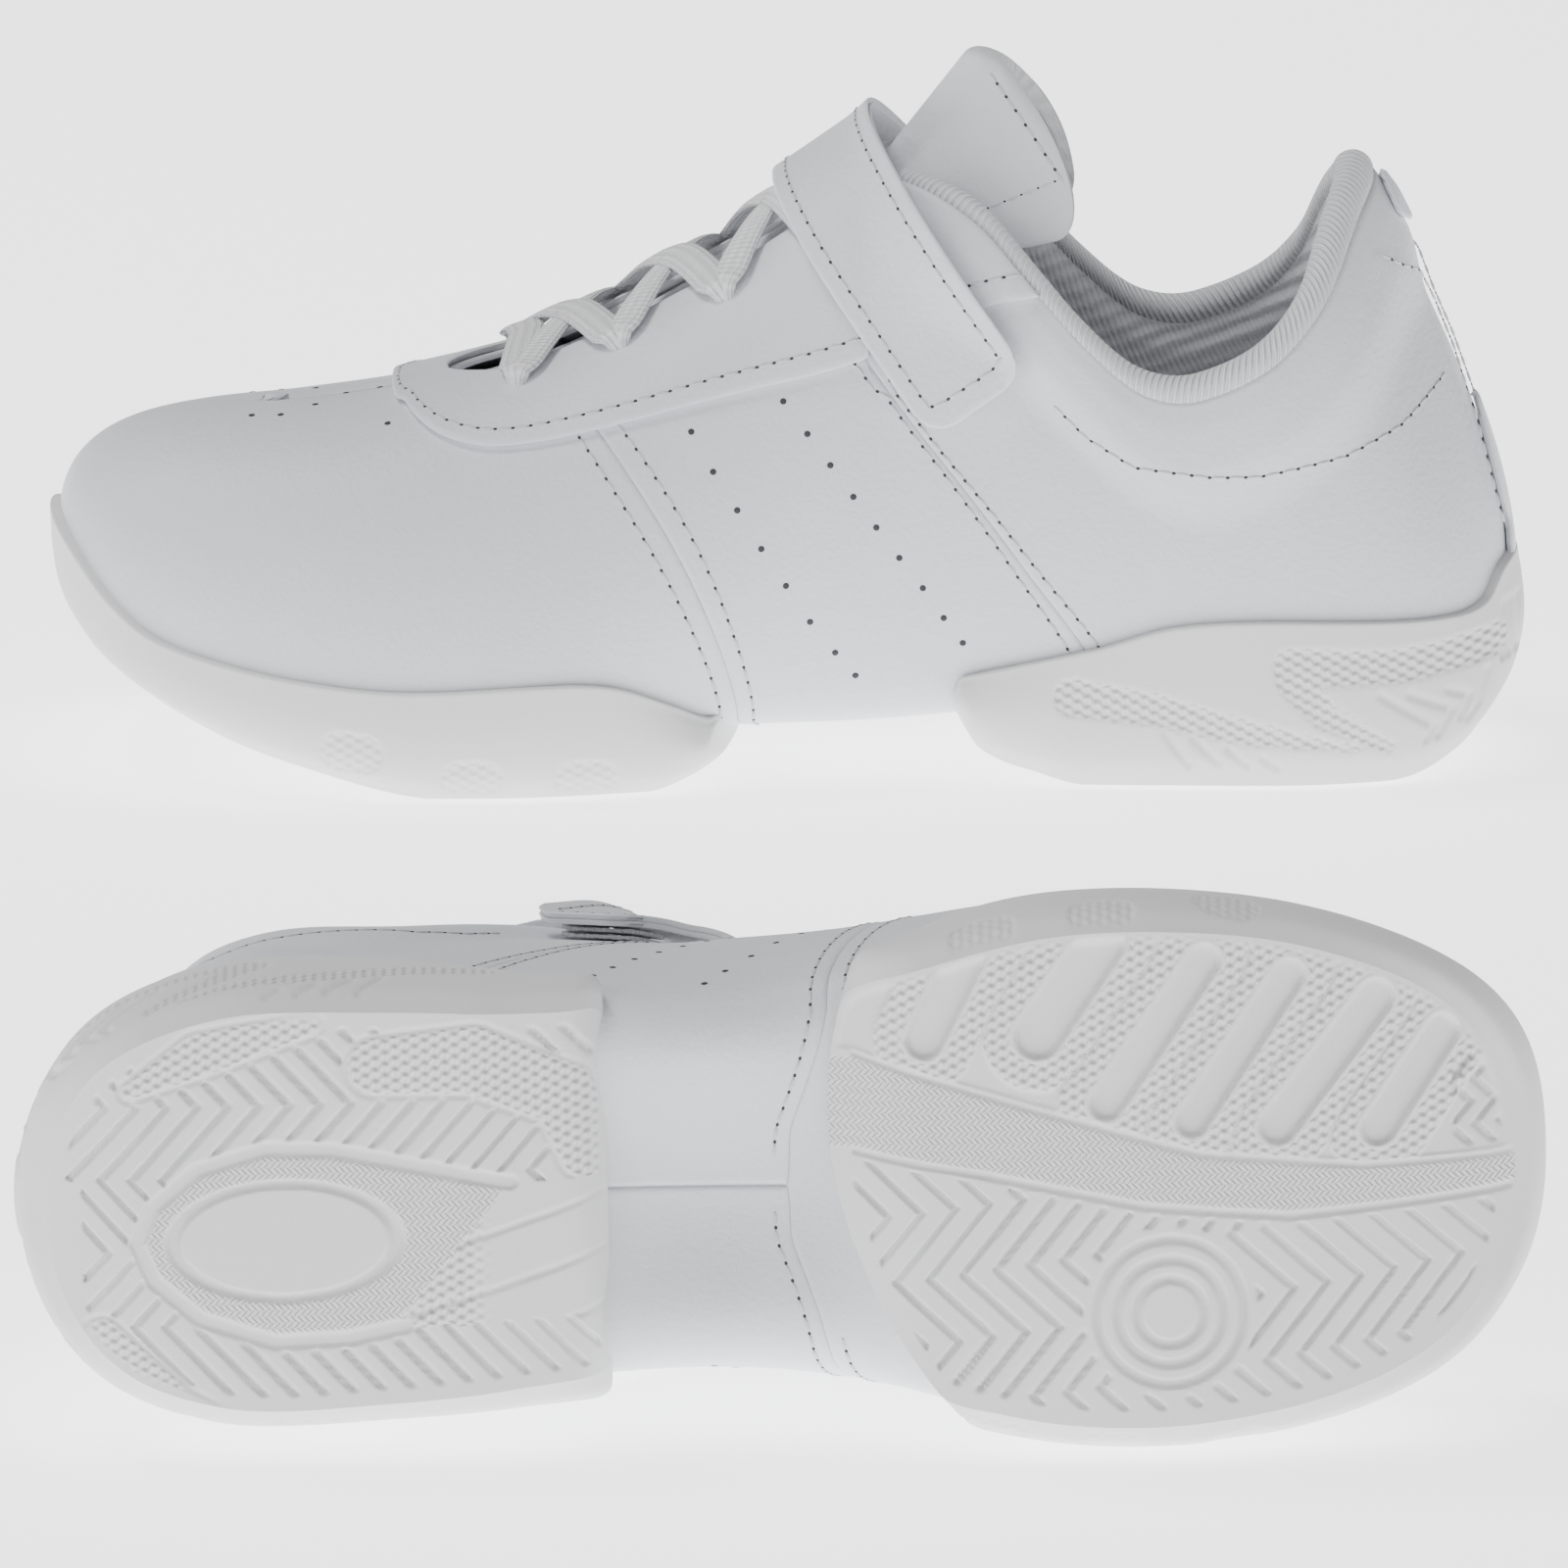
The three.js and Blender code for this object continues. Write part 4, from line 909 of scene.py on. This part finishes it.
def lace_run(a, b, lift):
    def centre(t):
        k, w = mix(a[0], b[0], t), mix(a[1], b[1], t)
        side = np.where(w < 0, -1, 1)
        n = facing(k, 1 - np.abs(w), side)
        ends = np.minimum(t, 1 - t)
        height = 7.2 + lift * smooth(0.1, 0.4, ends) - 3.4 * (1 - np.clip(ends / 0.05, 0, 1)) ** 2
        return last(k, 1 - np.abs(w), side) + n * height[:, None], n

    def place(s, t):
        ends = np.minimum(s, 1 - s)
        p, n = centre(s)
        along = centre(np.minimum(s + 0.01, 1))[0] - centre(np.maximum(s - 0.01, 0))[0]
        along /= np.linalg.norm(along, axis=1, keepdims=True)
        over = np.cross(n, along)
        over /= np.linalg.norm(over, axis=1, keepdims=True)
        up = np.cross(along, over)
        narrow = mix(0.48, 1, smooth(0, 0.1, ends))
        angle = t * 2 * math.pi
        flat = np.sign(np.cos(angle)) * np.abs(np.cos(angle)) ** 0.75 * 3.5 * narrow
        thick = np.sin(angle) * mix(1.5, 0.85, smooth(0, 0.1, ends))
        q = p + over * flat[:, None] + up * thick[:, None]
        return q, over * np.cos(angle)[:, None] + up * np.sin(angle)[:, None], np.c_[s * 34, t * 15]

    return place


for shoe in PLACES:
    runs = [(0, 1, 0.0)]
    for i in (0, 2, 4):
        runs += [(i, i + 3, 0.0), (i + 1, i + 2, 1.0)]
    meshes = [patch(shoe, 90, 20, lace_run(EYELETS[a], EYELETS[b], lift)) for a, b, lift in runs]
    piece = finished(f"{shoe}_elastic_lace", meshes, BRAID, weld=1e-6)
    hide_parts(f"{shoe}_lace")
    flexes(piece, shoe)


# ---- Soles ----
# Two rubber units with a gap under the arch. Their treads are cut by grooves, zigzags and lozenges, with
# a honeycomb texture in places, and their walls swell out over the leather.
def rubber_finish():
    f = Finish("white rubber", 0.55, Specular_IOR_Level=0.35)
    x, y, _ = f.parts(f.way())
    grain = f.noise(f.place(), 1900, 4, 0.6)
    turns = 2 * math.pi / 1.75
    comb = (f.wave(x * turns) + f.wave((x * 0.5 + y * 0.866) * turns) + f.wave((x * 0.5 - y * 0.866) * turns))
    masks = [f.node("ShaderNodeAttribute", {"attribute_name": name}, output=2) for name in ("hex", "fine")]
    folded = f.node("ShaderNodeMath", {"operation": "PINGPONG"}, {0: y, 1: 1.1})
    chevrons = f.wave((x + folded * 0.9) * (2 * math.pi / 1.15))
    cells = comb * masks[0]
    stripes = chevrons * masks[1]
    shade = grain * 0.45 + cells * 0.1 + stripes * 0.12 + 0.35
    f.colour(shade, (0.66, 0.665, 0.67, 1), (0.80, 0.80, 0.80, 1))
    f.bump(cells * 0.5 + stripes * 0.6 + grain * 0.22, 0.0003, 0.9)
    return f.done(Roughness=0.5 + grain * 0.2)


RUBBER = rubber_finish()
CUP = 4.3
TOE_RIM = curve([(140, 12), (148, 13), (155.6, 16.7), (165, 20.5), (175, 21.6), (203, 20.5), (217, 21.2),
                 (236, 23.9), (251, 28), (259, 33.7), (265, 40.4), (270, 46)])
TOE_TREAD = curve([
    (140, 10), (143, 8), (152, 2.6), (160, 0), (200, 0), (222, 5), (239, 10.5), (257, 20), (266, 29),
])
HEEL_RIM = curve([(0, 37.7), (3, 36), (6, 31.6), (12, 30.4), (46, 31.6), (64, 30.4), (78, 26.3), (104, 20.2)])
HEEL_TREAD = curve([(0, 20), (6, 9), (15, 2.5), (24, 0), (80, 0), (88, 2), (99, 6.5), (104, 14)])


def along_line(p, line):
    """Distance from each point to a polyline, and how far along it the nearest place is."""
    line = np.array(line, float)
    best, where = np.full(len(p), 1e9), np.zeros(len(p))
    for i, (a, b) in enumerate(zip(line[:-1, :2], line[1:, :2])):
        t = np.clip(((p - a) @ (b - a)) / ((b - a) @ (b - a)), 0, 1)
        d = np.linalg.norm(p - a - t[:, None] * (b - a), axis=1)
        where = np.where(d < best, i + t, where)
        best = np.minimum(best, d)
    return best, where


def swoosh(p, line):
    """How far inside a stroke of varying width each point lies."""
    d, where = along_line(p, line)
    return np.interp(where, range(len(line)), [q[2] for q in line]) - d


def cut(d, width, depth):
    return depth * smooth(width / 2 + 0.3, width / 2 - 0.25, d)


def wrapped(a, period):
    return (a + period / 2) % period - period / 2


def zigzag(x, y, pitch):
    f = (x + 0.93 * np.abs(y)) / pitch
    return cut(np.abs(f - np.round(f)) * pitch, 1.15, 1.2)


PILLS = [
    ((169.7, 45.1), (160.3, 27.4), 3.1), ((192, 44.3), (180.3, 27.7), 3.9),
    ((209.8, 40.2), (192, 15.3), 2.7), ((224.7, 36.6), (207, 11.7), 2.6),
    ((239.9, 31.4), (222.1, 9.9), 3.1), ((251.4, 24.2), (239.9, 8.2), 3.0),
]


def toe_pattern(x, y, edge):
    """Depth of the forefoot tread, with the honeycomb's and the fine chevrons' share."""
    p = np.c_[x, y]
    upper_line = [(147.9, 24.7), (179.4, 14.5), (208.7, 5.6), (237.3, 1.6), (268.3, 1.0)]
    lower_line = [(147.9, 7.3), (170.6, 3), (197.2, -3), (223.9, -6.4), (268.3, -4.7)]
    upper = np.interp(x, *np.array(upper_line).T)
    lower = np.interp(x, *np.array(lower_line).T)
    depth = cut(along_line(p, upper_line)[0], 0.9, 0.6) + cut(along_line(p, lower_line)[0], 1.0, 0.8)
    fine = smooth(0.6, 1.2, y - lower) * smooth(0.5, 1.1, upper - y)
    away = np.sort([along_line(p, pill[:2])[0] - pill[2] for pill in PILLS], axis=0)
    outer = smooth(0.6, 1.3, y - upper) * smooth(0.5, 2.5, edge)
    nearest, gap = away[0], away[1] - away[0]
    pad = smooth(0.3, -0.3, nearest) * 1.3 - smooth(0, 0.3, nearest) * smooth(1.1, 0.8, nearest) * 0.15
    pad += smooth(1.0, 0.2, gap) * smooth(0.9, 1.4, nearest) * smooth(6.4, 5.6, nearest) * 0.4
    pad += smooth(5.7, 6.3, nearest) * 0.5
    comb = outer * smooth(1.0, 1.4, nearest) * smooth(5.9, 5.4, nearest) * smooth(0.3, 1.0, gap)
    rings = np.hypot(x - 202.4, y + 22)
    inner = smooth(1.2, 1.8, lower - y) * smooth(3, 3.8, edge)
    lines = zigzag(x, wrapped(y + 22 - 0.12 * (x - 200), 23.5), 5.9) * smooth(15.2, 15.8, rings)
    target = sum(cut(np.abs(rings - r), 1.2, 1.1) for r in (5.8, 9.3, 12.9))
    tip = zigzag(x, wrapped(y - 11, 8), 4.2) * smooth(252.5, 253.5, x) * smooth(3, 4, y) * smooth(20, 19, y)
    return depth + outer * pad + inner * (lines + target) + tip * smooth(1.5, 3, edge), comb, fine


def heel_pattern(x, y, edge):
    """The same for the heel tread."""
    p = np.c_[x, y]
    round_ = np.hypot((x - 47.2) / 19.7, (y + 5.4) / 10.2)
    ring = cut(np.abs(round_ - 1) * 12, 1.3, 1.1)
    top = [(21.2, -5.4), (24, 1), (32, 7.5), (44, 11), (56, 10.5), (70, 7.5), (87, 3.8)]
    low = [(21.2, -5.4), (24, -12), (32, -19), (45, -23.4), (58, -23), (68, -21)]
    channel = np.minimum(along_line(p, top)[0], along_line(p, low)[0])
    within = (np.interp(x, *np.array(top).T) > y) & (np.interp(x, *np.array(low).T) < y) & (x > 21)
    before = smooth(0.5, -0.5, (x - 62.5) * 0.768 - (y + 25.2) * 0.64)
    drop = within * smooth(1.2, 2.0, channel)
    fine = drop * before * smooth(1.06, 1.12, round_)
    blade = within * smooth(1.0, 1.6, channel) * (1 - before)
    strokes = [[(20.5, 21.8, 1.5), (32.6, 28, 4), (52.5, 33.1, 2)],
               [(63.9, 25.3, 5), (81, 26, 6), (96.7, 18.8, 5.5), (100.9, 8.2, 5)],
               [(14.8, -22.3, 3.5), (27.7, -34.5, 3.5), (41.1, -42.3, 3.5)]]
    comb = np.max([swoosh(p, stroke) for stroke in strokes], axis=0)
    flat = (x < 11.7) & (y > -18.5) & (y < 5.6)
    free = ~within * smooth(1.5, 2.2, channel) * smooth(-0.6, -1.4, comb) * smooth(2.5, 3.4, edge) * ~flat
    lines = zigzag(x, wrapped(y - 18.9, 26), 5.4) * free
    border = cut(np.abs(comb + 0.4), 0.7, 0.4) * ~within
    sweep = cut(np.abs(wrapped((y + 6) * 0.9 - (x - 80) * 0.25, 9)), 0.9, 0.4) * blade
    comb = np.maximum(smooth(0, 0.5, comb) * ~within, blade * smooth(84, 78, x))
    depth = np.max([ring, cut(channel, 2.4, 0.7), lines, border, sweep], axis=0)
    return depth, comb * smooth(1, 2.5, edge), fine


WALL_STROKES = [[(82.3, 17.4, 3.6), (67.4, 15.3, 3), (50.7, 11, 2.4), (29.8, 7.3, 0.6)],
                [(42.3, 23.2, 3.6), (23, 22.5, 3.2), (4.9, 24.3, 3)],
                [(41.6, 20.8, 3.6), (36.1, 13.9, 2.6), (24.4, 7.3, 1.2)]]
WALL_CUTS = [[(65.6, 11.1), (61.1, 4.5)], [(60.4, 10), (55.5, 4.8)], [(54.1, 8), (50.3, 4.2)],
             [(47.5, 5.9), (44.8, 3.8)],
             [(26.1, 17.3), (16, 10.4), (17.4, 7.6)], [(20.8, 17), (12.5, 13.2), (15.3, 8.3)],
             [(13.6, 17), (9.4, 15.2), (11.1, 11.1)], [(6.3, 19.1), (7.7, 13.2), (9.8, 10.4)],
             [(3.3, 20), (3.3, 30)], [(2.1, 20), (2.1, 30)], [(0.7, 20), (0.7, 30)]]
PADS = [[(169, 3.5, 4), (173, 3.5, 4)], [(190, 4, 4), (194, 4, 4)], [(212, 9, 4), (216, 9.5, 4)]]


def wall_pattern(x, z, heel):
    p = np.c_[x, z]
    comb = np.max([swoosh(p, stroke) for stroke in (WALL_STROKES if heel else PADS)], axis=0)
    depth = smooth(-0.2, 0.5, comb) * 0.35
    if heel:
        nearest = np.min([along_line(p, line)[0] for line in WALL_CUTS], axis=0)
        depth = np.maximum(depth, cut(nearest, 1.0, 0.6))
    return depth, smooth(0, 0.5, comb) * (1 if heel else 0.45)


def outline(k_open, k_closed, x_open):
    """The rings of points round a unit: floor, edge, belly and lip, with the outward way of each."""
    run = np.linspace(k_open, k_closed, 500)
    ks, sides = np.r_[run, run[::-1]], np.r_[run * 0 + 1, run * 0 - 1]
    foot, away = last(ks, 0.02, sides), facing(ks, 0.02, sides)
    away[:, 2] = 0
    away /= np.linalg.norm(away, axis=1, keepdims=True)
    heel = k_closed < k_open
    rim, tread = (HEEL_RIM, HEEL_TREAD) if heel else (TOE_RIM, TOE_TREAD)

    def lip(v):
        return last(ks, v, sides) + facing(ks, v, sides) * (CUP + 1.6)

    v = solve(ks * 0 - 0.1, ks * 0 + 0.7, lambda v: lip(v)[:, 2] > rim(lip(v)[:, 0]))
    rings = [foot + away * (CUP + swell) for swell in (-2.4, 1.1, 2.7)]
    rings += [lip(v), last(ks, v, sides) + facing(ks, v, sides) * 3.1]
    beyond = rings[1][:, 0] - x_open(rings[1][:, 1])
    kept = beyond < -0.5 if heel else beyond > 0.5
    rings, ks, away = [ring[kept] for ring in rings], ks[kept], away[kept]
    shut = np.linspace(1, -1, 200)[1:-1]
    out = []
    for i, ring in enumerate(rings):
        a, b = ring[0], ring[-1]
        y = mix(b[1], a[1], (1 - shut) / 2)
        bow = x_open(y) - (1.5 if i == 4 and heel else 0)
        out.append(np.r_[ring, np.c_[bow, y, y * 0]])
    away = np.r_[away, np.c_[shut * 0 + (1 if heel else -1), shut * 0, shut * 0]]
    closed = np.r_[ks * 0, shut * 0 + 1]
    run = np.r_[0, np.cumsum(np.linalg.norm(np.diff(out[1][:, :2], axis=0), axis=1))]
    even = np.linspace(0, run[-1], 1201)[:-1]

    def even_out(values):
        values = np.interp(even, run, values)
        kernel = np.exp(-0.5 * (np.arange(-12, 13) * (even[1] / 2.0)) ** 2)
        padded = np.r_[values[-12:], values, values[:12]]
        return np.convolve(padded, kernel / kernel.sum(), "valid")

    out = [np.stack([even_out(ring[:, i]) for i in range(3)], 1) for ring in out]
    away = np.stack([even_out(away[:, i]) for i in range(3)], 1)
    away /= np.linalg.norm(away, axis=1, keepdims=True)
    closed = even_out(closed)
    floor, edge, belly, top, inner = out
    floor[:, 2] = np.maximum(tread(floor[:, 0]), 0)
    top[:, 2] = mix(rim(top[:, 0]), 18 if heel else 13.5, smooth(0.3, 0.9, closed))
    inner[:, 2] = top[:, 2]
    edge[:, 2], belly[:, 2] = mix(floor[:, 2], top[:, 2], 0.2), mix(floor[:, 2], top[:, 2], 0.55)
    return out, away, tread, heel


RISES = [curve([(at, 1.0 if at == node else 0.0) for at in (0, 0.2, 0.55, 1)]) for node in (0, 0.2, 0.55, 1)]


def round_trip(values, s):
    """Values kept at even steps round the unit, read at s from 0 to 1."""
    at = (s % 1) * 1200
    i = np.floor(at).astype(int) % 1200
    t = (at - np.floor(at))[:, None]
    return values[i] * (1 - t) + values[(i + 1) % 1200] * t


def unit_wall(unit):
    rings, away, _, heel = unit

    def place(s, t):
        floor, edge, belly, top, inner = (round_trip(ring, s) for ring in rings)
        n = round_trip(away, s)
        h = np.clip(t / 0.86, 0, 1)
        side = sum(ring * rise(h)[:, None] for ring, rise in zip((floor, edge, belly, top), RISES))
        turn = np.clip((t - 0.86) / 0.08, 0, 1) * math.pi / 2
        side += np.where(t > 0.86, 1, 0)[:, None] * 0.5 * (n * (np.cos(turn) - 1)[:, None])
        side[:, 2] += 0.5 * (np.sin(turn) - 1) * smooth(0.7, 0.86, t)
        p = side + (inner - side) * np.clip((t - 0.94) / 0.06, 0, 1)[:, None]
        depth, comb = wall_pattern(p[:, 0], p[:, 2], heel)
        fade = smooth(0.02, 0.1, t) * smooth(0.84, 0.76, t)
        return p - n * (depth * fade)[:, None], n, p[:, [0, 2]], comb * fade, 0 * t

    return place


def unit_tread(unit):
    rings, _, tread, heel = unit
    a, b = (30, 74) if heel else (172, 228)

    def place(s, t):
        floor = round_trip(rings[0], s)
        x0 = np.clip(floor[:, 0], a, b)
        middle = np.c_[x0, x0 * 0]
        plan = floor[:, :2] + (middle - floor[:, :2]) * t[:, None]
        edge = np.linalg.norm(plan - floor[:, :2], axis=1)
        depth, comb, fine = (heel_pattern if heel else toe_pattern)(plan[:, 0], plan[:, 1], edge)
        z = np.maximum(tread(plan[:, 0]), 0) + depth * smooth(0, 1.5, edge)
        return np.c_[plan, z], np.c_[plan * 0, z * 0 - 1], plan, comb, fine

    return place


TOE_UNIT = outline(5.3, TIP, lambda y: 143 + 0.0075 * (y - 14) ** 2)
HEEL_UNIT = outline(4.6, 0, lambda y: 104 + y * 0)
for shoe in PLACES:
    for part, body, unit, across, up in (
        ("forefoot_sole", "forefoot", TOE_UNIT, 800, 95), ("heel_sole", "heel", HEEL_UNIT, 640, 84),
    ):
        mesh = patch(shoe, across, 50, unit_wall(unit))
        sides = finished(f"{shoe}_{part}_wall", [mesh], RUBBER)
        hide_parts(f"{shoe}_{part}")
        mesh = patch(shoe, across, up, unit_tread(unit))
        under = finished(f"{shoe}_{part}_tread", [mesh], RUBBER)
        for piece in (sides, under):
            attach(piece, f"{shoe}_{body}")


# ---- Stitching and perforations, with painted shade for the holes ----
# Rows of short grey-white stitches with a dark bead of painted shade for the needle hole between each, and
# punched rows over the toes drawn as dark beads of painted shade, as no holes are cut.
THREAD = felt_finish("sewing thread", (0.50, 0.51, 0.53, 1), (0.72, 0.73, 0.75, 1))
# The near-black finish of the beads at needle holes and perforations is painted shade for the hollow of each
# hole.
HOLE_SHADE_FINISH = felt_finish("painted hole shade", (0.03, 0.03, 0.033, 1), (0.09, 0.09, 0.10, 1))
# Half sizes along the row, across it and out of the leather.
STITCH_SIZE, NEEDLE_HOLE_SHADE_SIZE, PERFORATION_SHADE_SIZE = (1.35, 0.36, 0.26), (0.42, 0.32, 0.14), (0.66, 0.66, 0.12)


def beads(name, spots, sizes, finish):
    """Small rounded beads at each spot: spots holds points, ways along and normals out."""
    mesh, batches = bpy.data.meshes.new(name), []
    bm = bmesh.new()
    for i, (point, along, out) in enumerate(zip(*spots)):
        if i % 25 == 0 and i:
            batch = bpy.data.meshes.new("batch")
            bm.to_mesh(batch)
            bm.free()
            batches.append(batch)
            bm = bmesh.new()
        along = Vector(along).normalized()
        out = Vector(out).normalized()
        over = out.cross(along).normalized()
        turn = Matrix((along, over, along.cross(over))).transposed().to_4x4()
        scale = Matrix.Diagonal((*(size * MM for size in sizes), 1))
        at = Matrix.Translation(point) @ turn @ scale
        bmesh.ops.create_uvsphere(bm, u_segments=8, v_segments=5, radius=1, matrix=at)
    for batch in batches:
        bm.from_mesh(batch)
        bpy.data.meshes.remove(batch)
    bm.to_mesh(mesh)
    bm.free()
    for polygon in mesh.polygons:
        polygon.use_smooth = True
    mesh.materials.append(finish)
    piece = bpy.data.objects.new(name, mesh)
    bpy.context.collection.objects.link(piece)
    return piece


def row(shoe, points, normals, pitch=3.3, gap=0.5):
    """Even steps along a line: the spots of the stitches, or of the needle holes half way between, where dark
    beads of painted shade go.
    """
    run = np.r_[0, np.cumsum(np.linalg.norm(np.diff(points, axis=0), axis=1))]
    at = np.arange(pitch * gap, run[-1] - pitch * 0.3, pitch)
    p, n, ahead = (np.stack([np.interp(at + step, run, v[:, i]) for i in range(3)], 1)
                   for v, step in ((points, 0), (normals, 0), (points, 0.4)))
    return to_world(shoe, p), turned(shoe, ahead - p), turned(shoe, n)


def located(xz, side):
    """Stations and heights on the upper of points given in the side view."""
    x, z = np.array(xz, float).T
    k, v = x / 25, x * 0 + 0.4
    for _ in range(10):
        k = solve(x * 0, x * 0 + TIP, lambda k: skin(k, v, side, LEATHER_OUT)[0][:, 0] > x)
        v = solve(x * 0 - 0.2, top_edge(k, side), lambda v: skin(k, v, side, LEATHER_OUT)[0][:, 2] > z)
    return k, v


def drawn(xz, side, depth, steps=80):
    xz = np.array(xz, float)
    run = np.r_[0, np.cumsum(np.linalg.norm(np.diff(xz, axis=0), axis=1))]
    even = np.linspace(0, run[-1], steps)
    k, v = located(np.c_[np.interp(even, run, xz[:, 0]), np.interp(even, run, xz[:, 1])], side)
    return skin(k, v, side, depth)


def seam_row(seam, aside, side, low, depth=LEATHER_OUT):
    t = np.linspace(low, 0.93, 140)
    k = seam_station(t, side, seam, 2.0, 9) + aside
    return skin(k, height_at(k, t, side), side, depth)


COLLAR_ROW = [
    (86, 71.9), (79.8, 65.8), (71.1, 60.5), (57, 58.8), (48.2, 58.8), (32.5, 61.4), (21.9, 65.8), (14, 71.9),
]
BACKSTAY_ROW = [(27.2, 95.3), (20.2, 90.4), (14, 75.4), (9.6, 62.3), (4.6, 43)]
PUNCHED = [
    (151.9, 66.1), (147.9, 59.3), (143.5, 52.5), (139.1, 45.4), (134.6, 38.4), (130.2, 31.4), (125.6, 25.3),
    (121.9, 20.7), (135.1, 71.6), (130.7, 66), (126.5, 60.4), (122.3, 54.6), (118.1, 48.9), (113.9, 43.2),
    (109.6, 37.5), (105.8, 31.8), (102.3, 27), (232.3, 63.7), (227, 64), (220.7, 65.1), (215.1, 66),
    (208.9, 68.1), (207.4, 64.4),
]


def eyestay_row(side):
    k = np.linspace(3.7, 8.55, 160)
    v = eyestay_low(k, side) + 2.3 / 62
    return skin(k, v, side, OVERLAY_OUT)


def strap_row():
    lines, normals = STRAP_LINES[STRAP_TOP]
    steps = np.linspace(0.022, 0.93, 260)
    corners = np.linspace(-7.9, 7.9, 40)
    over = np.r_[steps * 0 - 7.9, 0 * corners, steps * 0 + 7.9]
    step = np.r_[steps[::-1], corners * 0 + 0.022, steps]
    over[260:300] = corners
    p, n = read(lines, over, step), read(normals, over, step)
    return p, n


def tongue_row():
    u = np.r_[np.linspace(0.66, 0.965, 60), np.full(50, 0.965), np.linspace(0.965, 0.66, 60)]
    a = np.r_[np.full(60, -0.84), np.linspace(-0.84, 0.84, 50), np.full(60, 0.84)]
    n = tongue_normal(u, a)
    return tongue_point(u, a) + n * -1.3, n


SEWN = {
    "saddle": lambda side: [seam_row(front_seam, -0.1, side, -0.9), seam_row(rear_seam, 0.1, side, -0.9),
                            seam_row(front_seam, 0.1, side, -0.3), seam_row(rear_seam, -0.1, side, -0.3)],
    "eyestay": lambda side: [eyestay_row(side)],
    "collar": lambda side: [drawn(COLLAR_ROW, side, LEATHER_OUT)],
    "backstay": lambda side: [drawn(BACKSTAY_ROW, side, OVERLAY_OUT)],
}
rows = {name: [line for side in (1, -1) for line in make(side)] for name, make in SEWN.items()}
rows["strap"], rows["tongue"] = [strap_row()], [tongue_row()]
for shoe in PLACES:
    near_end, far_end = strap_end(shoe)
    for name, lines in rows.items():
        stitches = [np.concatenate(q) for q in zip(*(row(shoe, p, n) for p, n in lines))]
        # Dark beads half way between the stitches are painted shade for the needle holes.
        shaded_hole_spots = [np.concatenate(q) for q in zip(*(row(shoe, p, n, gap=1.0) for p, n in lines))]
        pieces = [beads(f"{shoe}_{name}_stitches", stitches, STITCH_SIZE, THREAD),
                  beads(f"{shoe}_{name}_needle_hole_shade", shaded_hole_spots, NEEDLE_HOLE_SHADE_SIZE, HOLE_SHADE_FINISH)]
        for piece in pieces:
            if name in ("saddle", "eyestay"):
                flexes(piece, shoe)
            elif name == "strap":
                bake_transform(piece)
            else:
                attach(piece, f"{shoe}_tongue" if name == "tongue" else f"{shoe}_heel")
    # No holes are punched in the leather: a dark bead at each one is painted shade for its hollow.
    spots = []
    for side in (1, -1):
        k, v = located(PUNCHED, side)
        spots.append(skin(k, v, side, LEATHER_OUT))
    p, n = (np.concatenate(q) for q in zip(*spots))
    along = np.cross(n, [0.0, 0.3, 1.0])
    shaded_hole_spots = (to_world(shoe, p), turned(shoe, along), turned(shoe, n))
    flexes(beads(f"{shoe}_perforation_shade", shaded_hole_spots, PERFORATION_SHADE_SIZE, HOLE_SHADE_FINISH), shoe)


# ---- Room ----
# A white floor and soft light from above and in front.
floor_mesh = bpy.data.meshes.new("floor")
bm = bmesh.new()
bmesh.ops.create_grid(bm, x_segments=1, y_segments=1, size=30)
bm.to_mesh(floor_mesh)
bm.free()
floor = bpy.data.objects.new("floor", floor_mesh)
floor.location.z = -0.0008
bpy.context.collection.objects.link(floor)
ground = Finish("white floor", 0.9, Base_Color=(0.92, 0.92, 0.92, 1), Specular_IOR_Level=0.1,
                Emission_Color=(1, 1, 1, 1), Emission_Strength=2.2)
floor_mesh.materials.append(ground.done())
world = bpy.data.worlds.new("studio")
bpy.context.scene.world = world
world.use_nodes = True
world.node_tree.nodes["Background"].inputs[0].default_value = (1, 1, 1, 1)
world.node_tree.nodes["Background"].inputs[1].default_value = 0.4
for name, where, size, power in (
    ("overhead", (-0.9, 0.3, 1.9), 0.7, 26), ("front", (-1.8, -1.9, 1.3), 0.7, 9),
    ("low", (0.6, -2.6, 0.4), 1.2, 1.5),
):
    lamp = bpy.data.lights.new(name, "AREA")
    lamp.size = size
    lamp.energy = power
    holder = bpy.data.objects.new(name, lamp)
    holder.location = where
    holder.rotation_euler = (Vector((0, 0, 0.05)) - Vector(where)).to_track_quat("-Z", "Y").to_euler()
    bpy.context.collection.objects.link(holder)
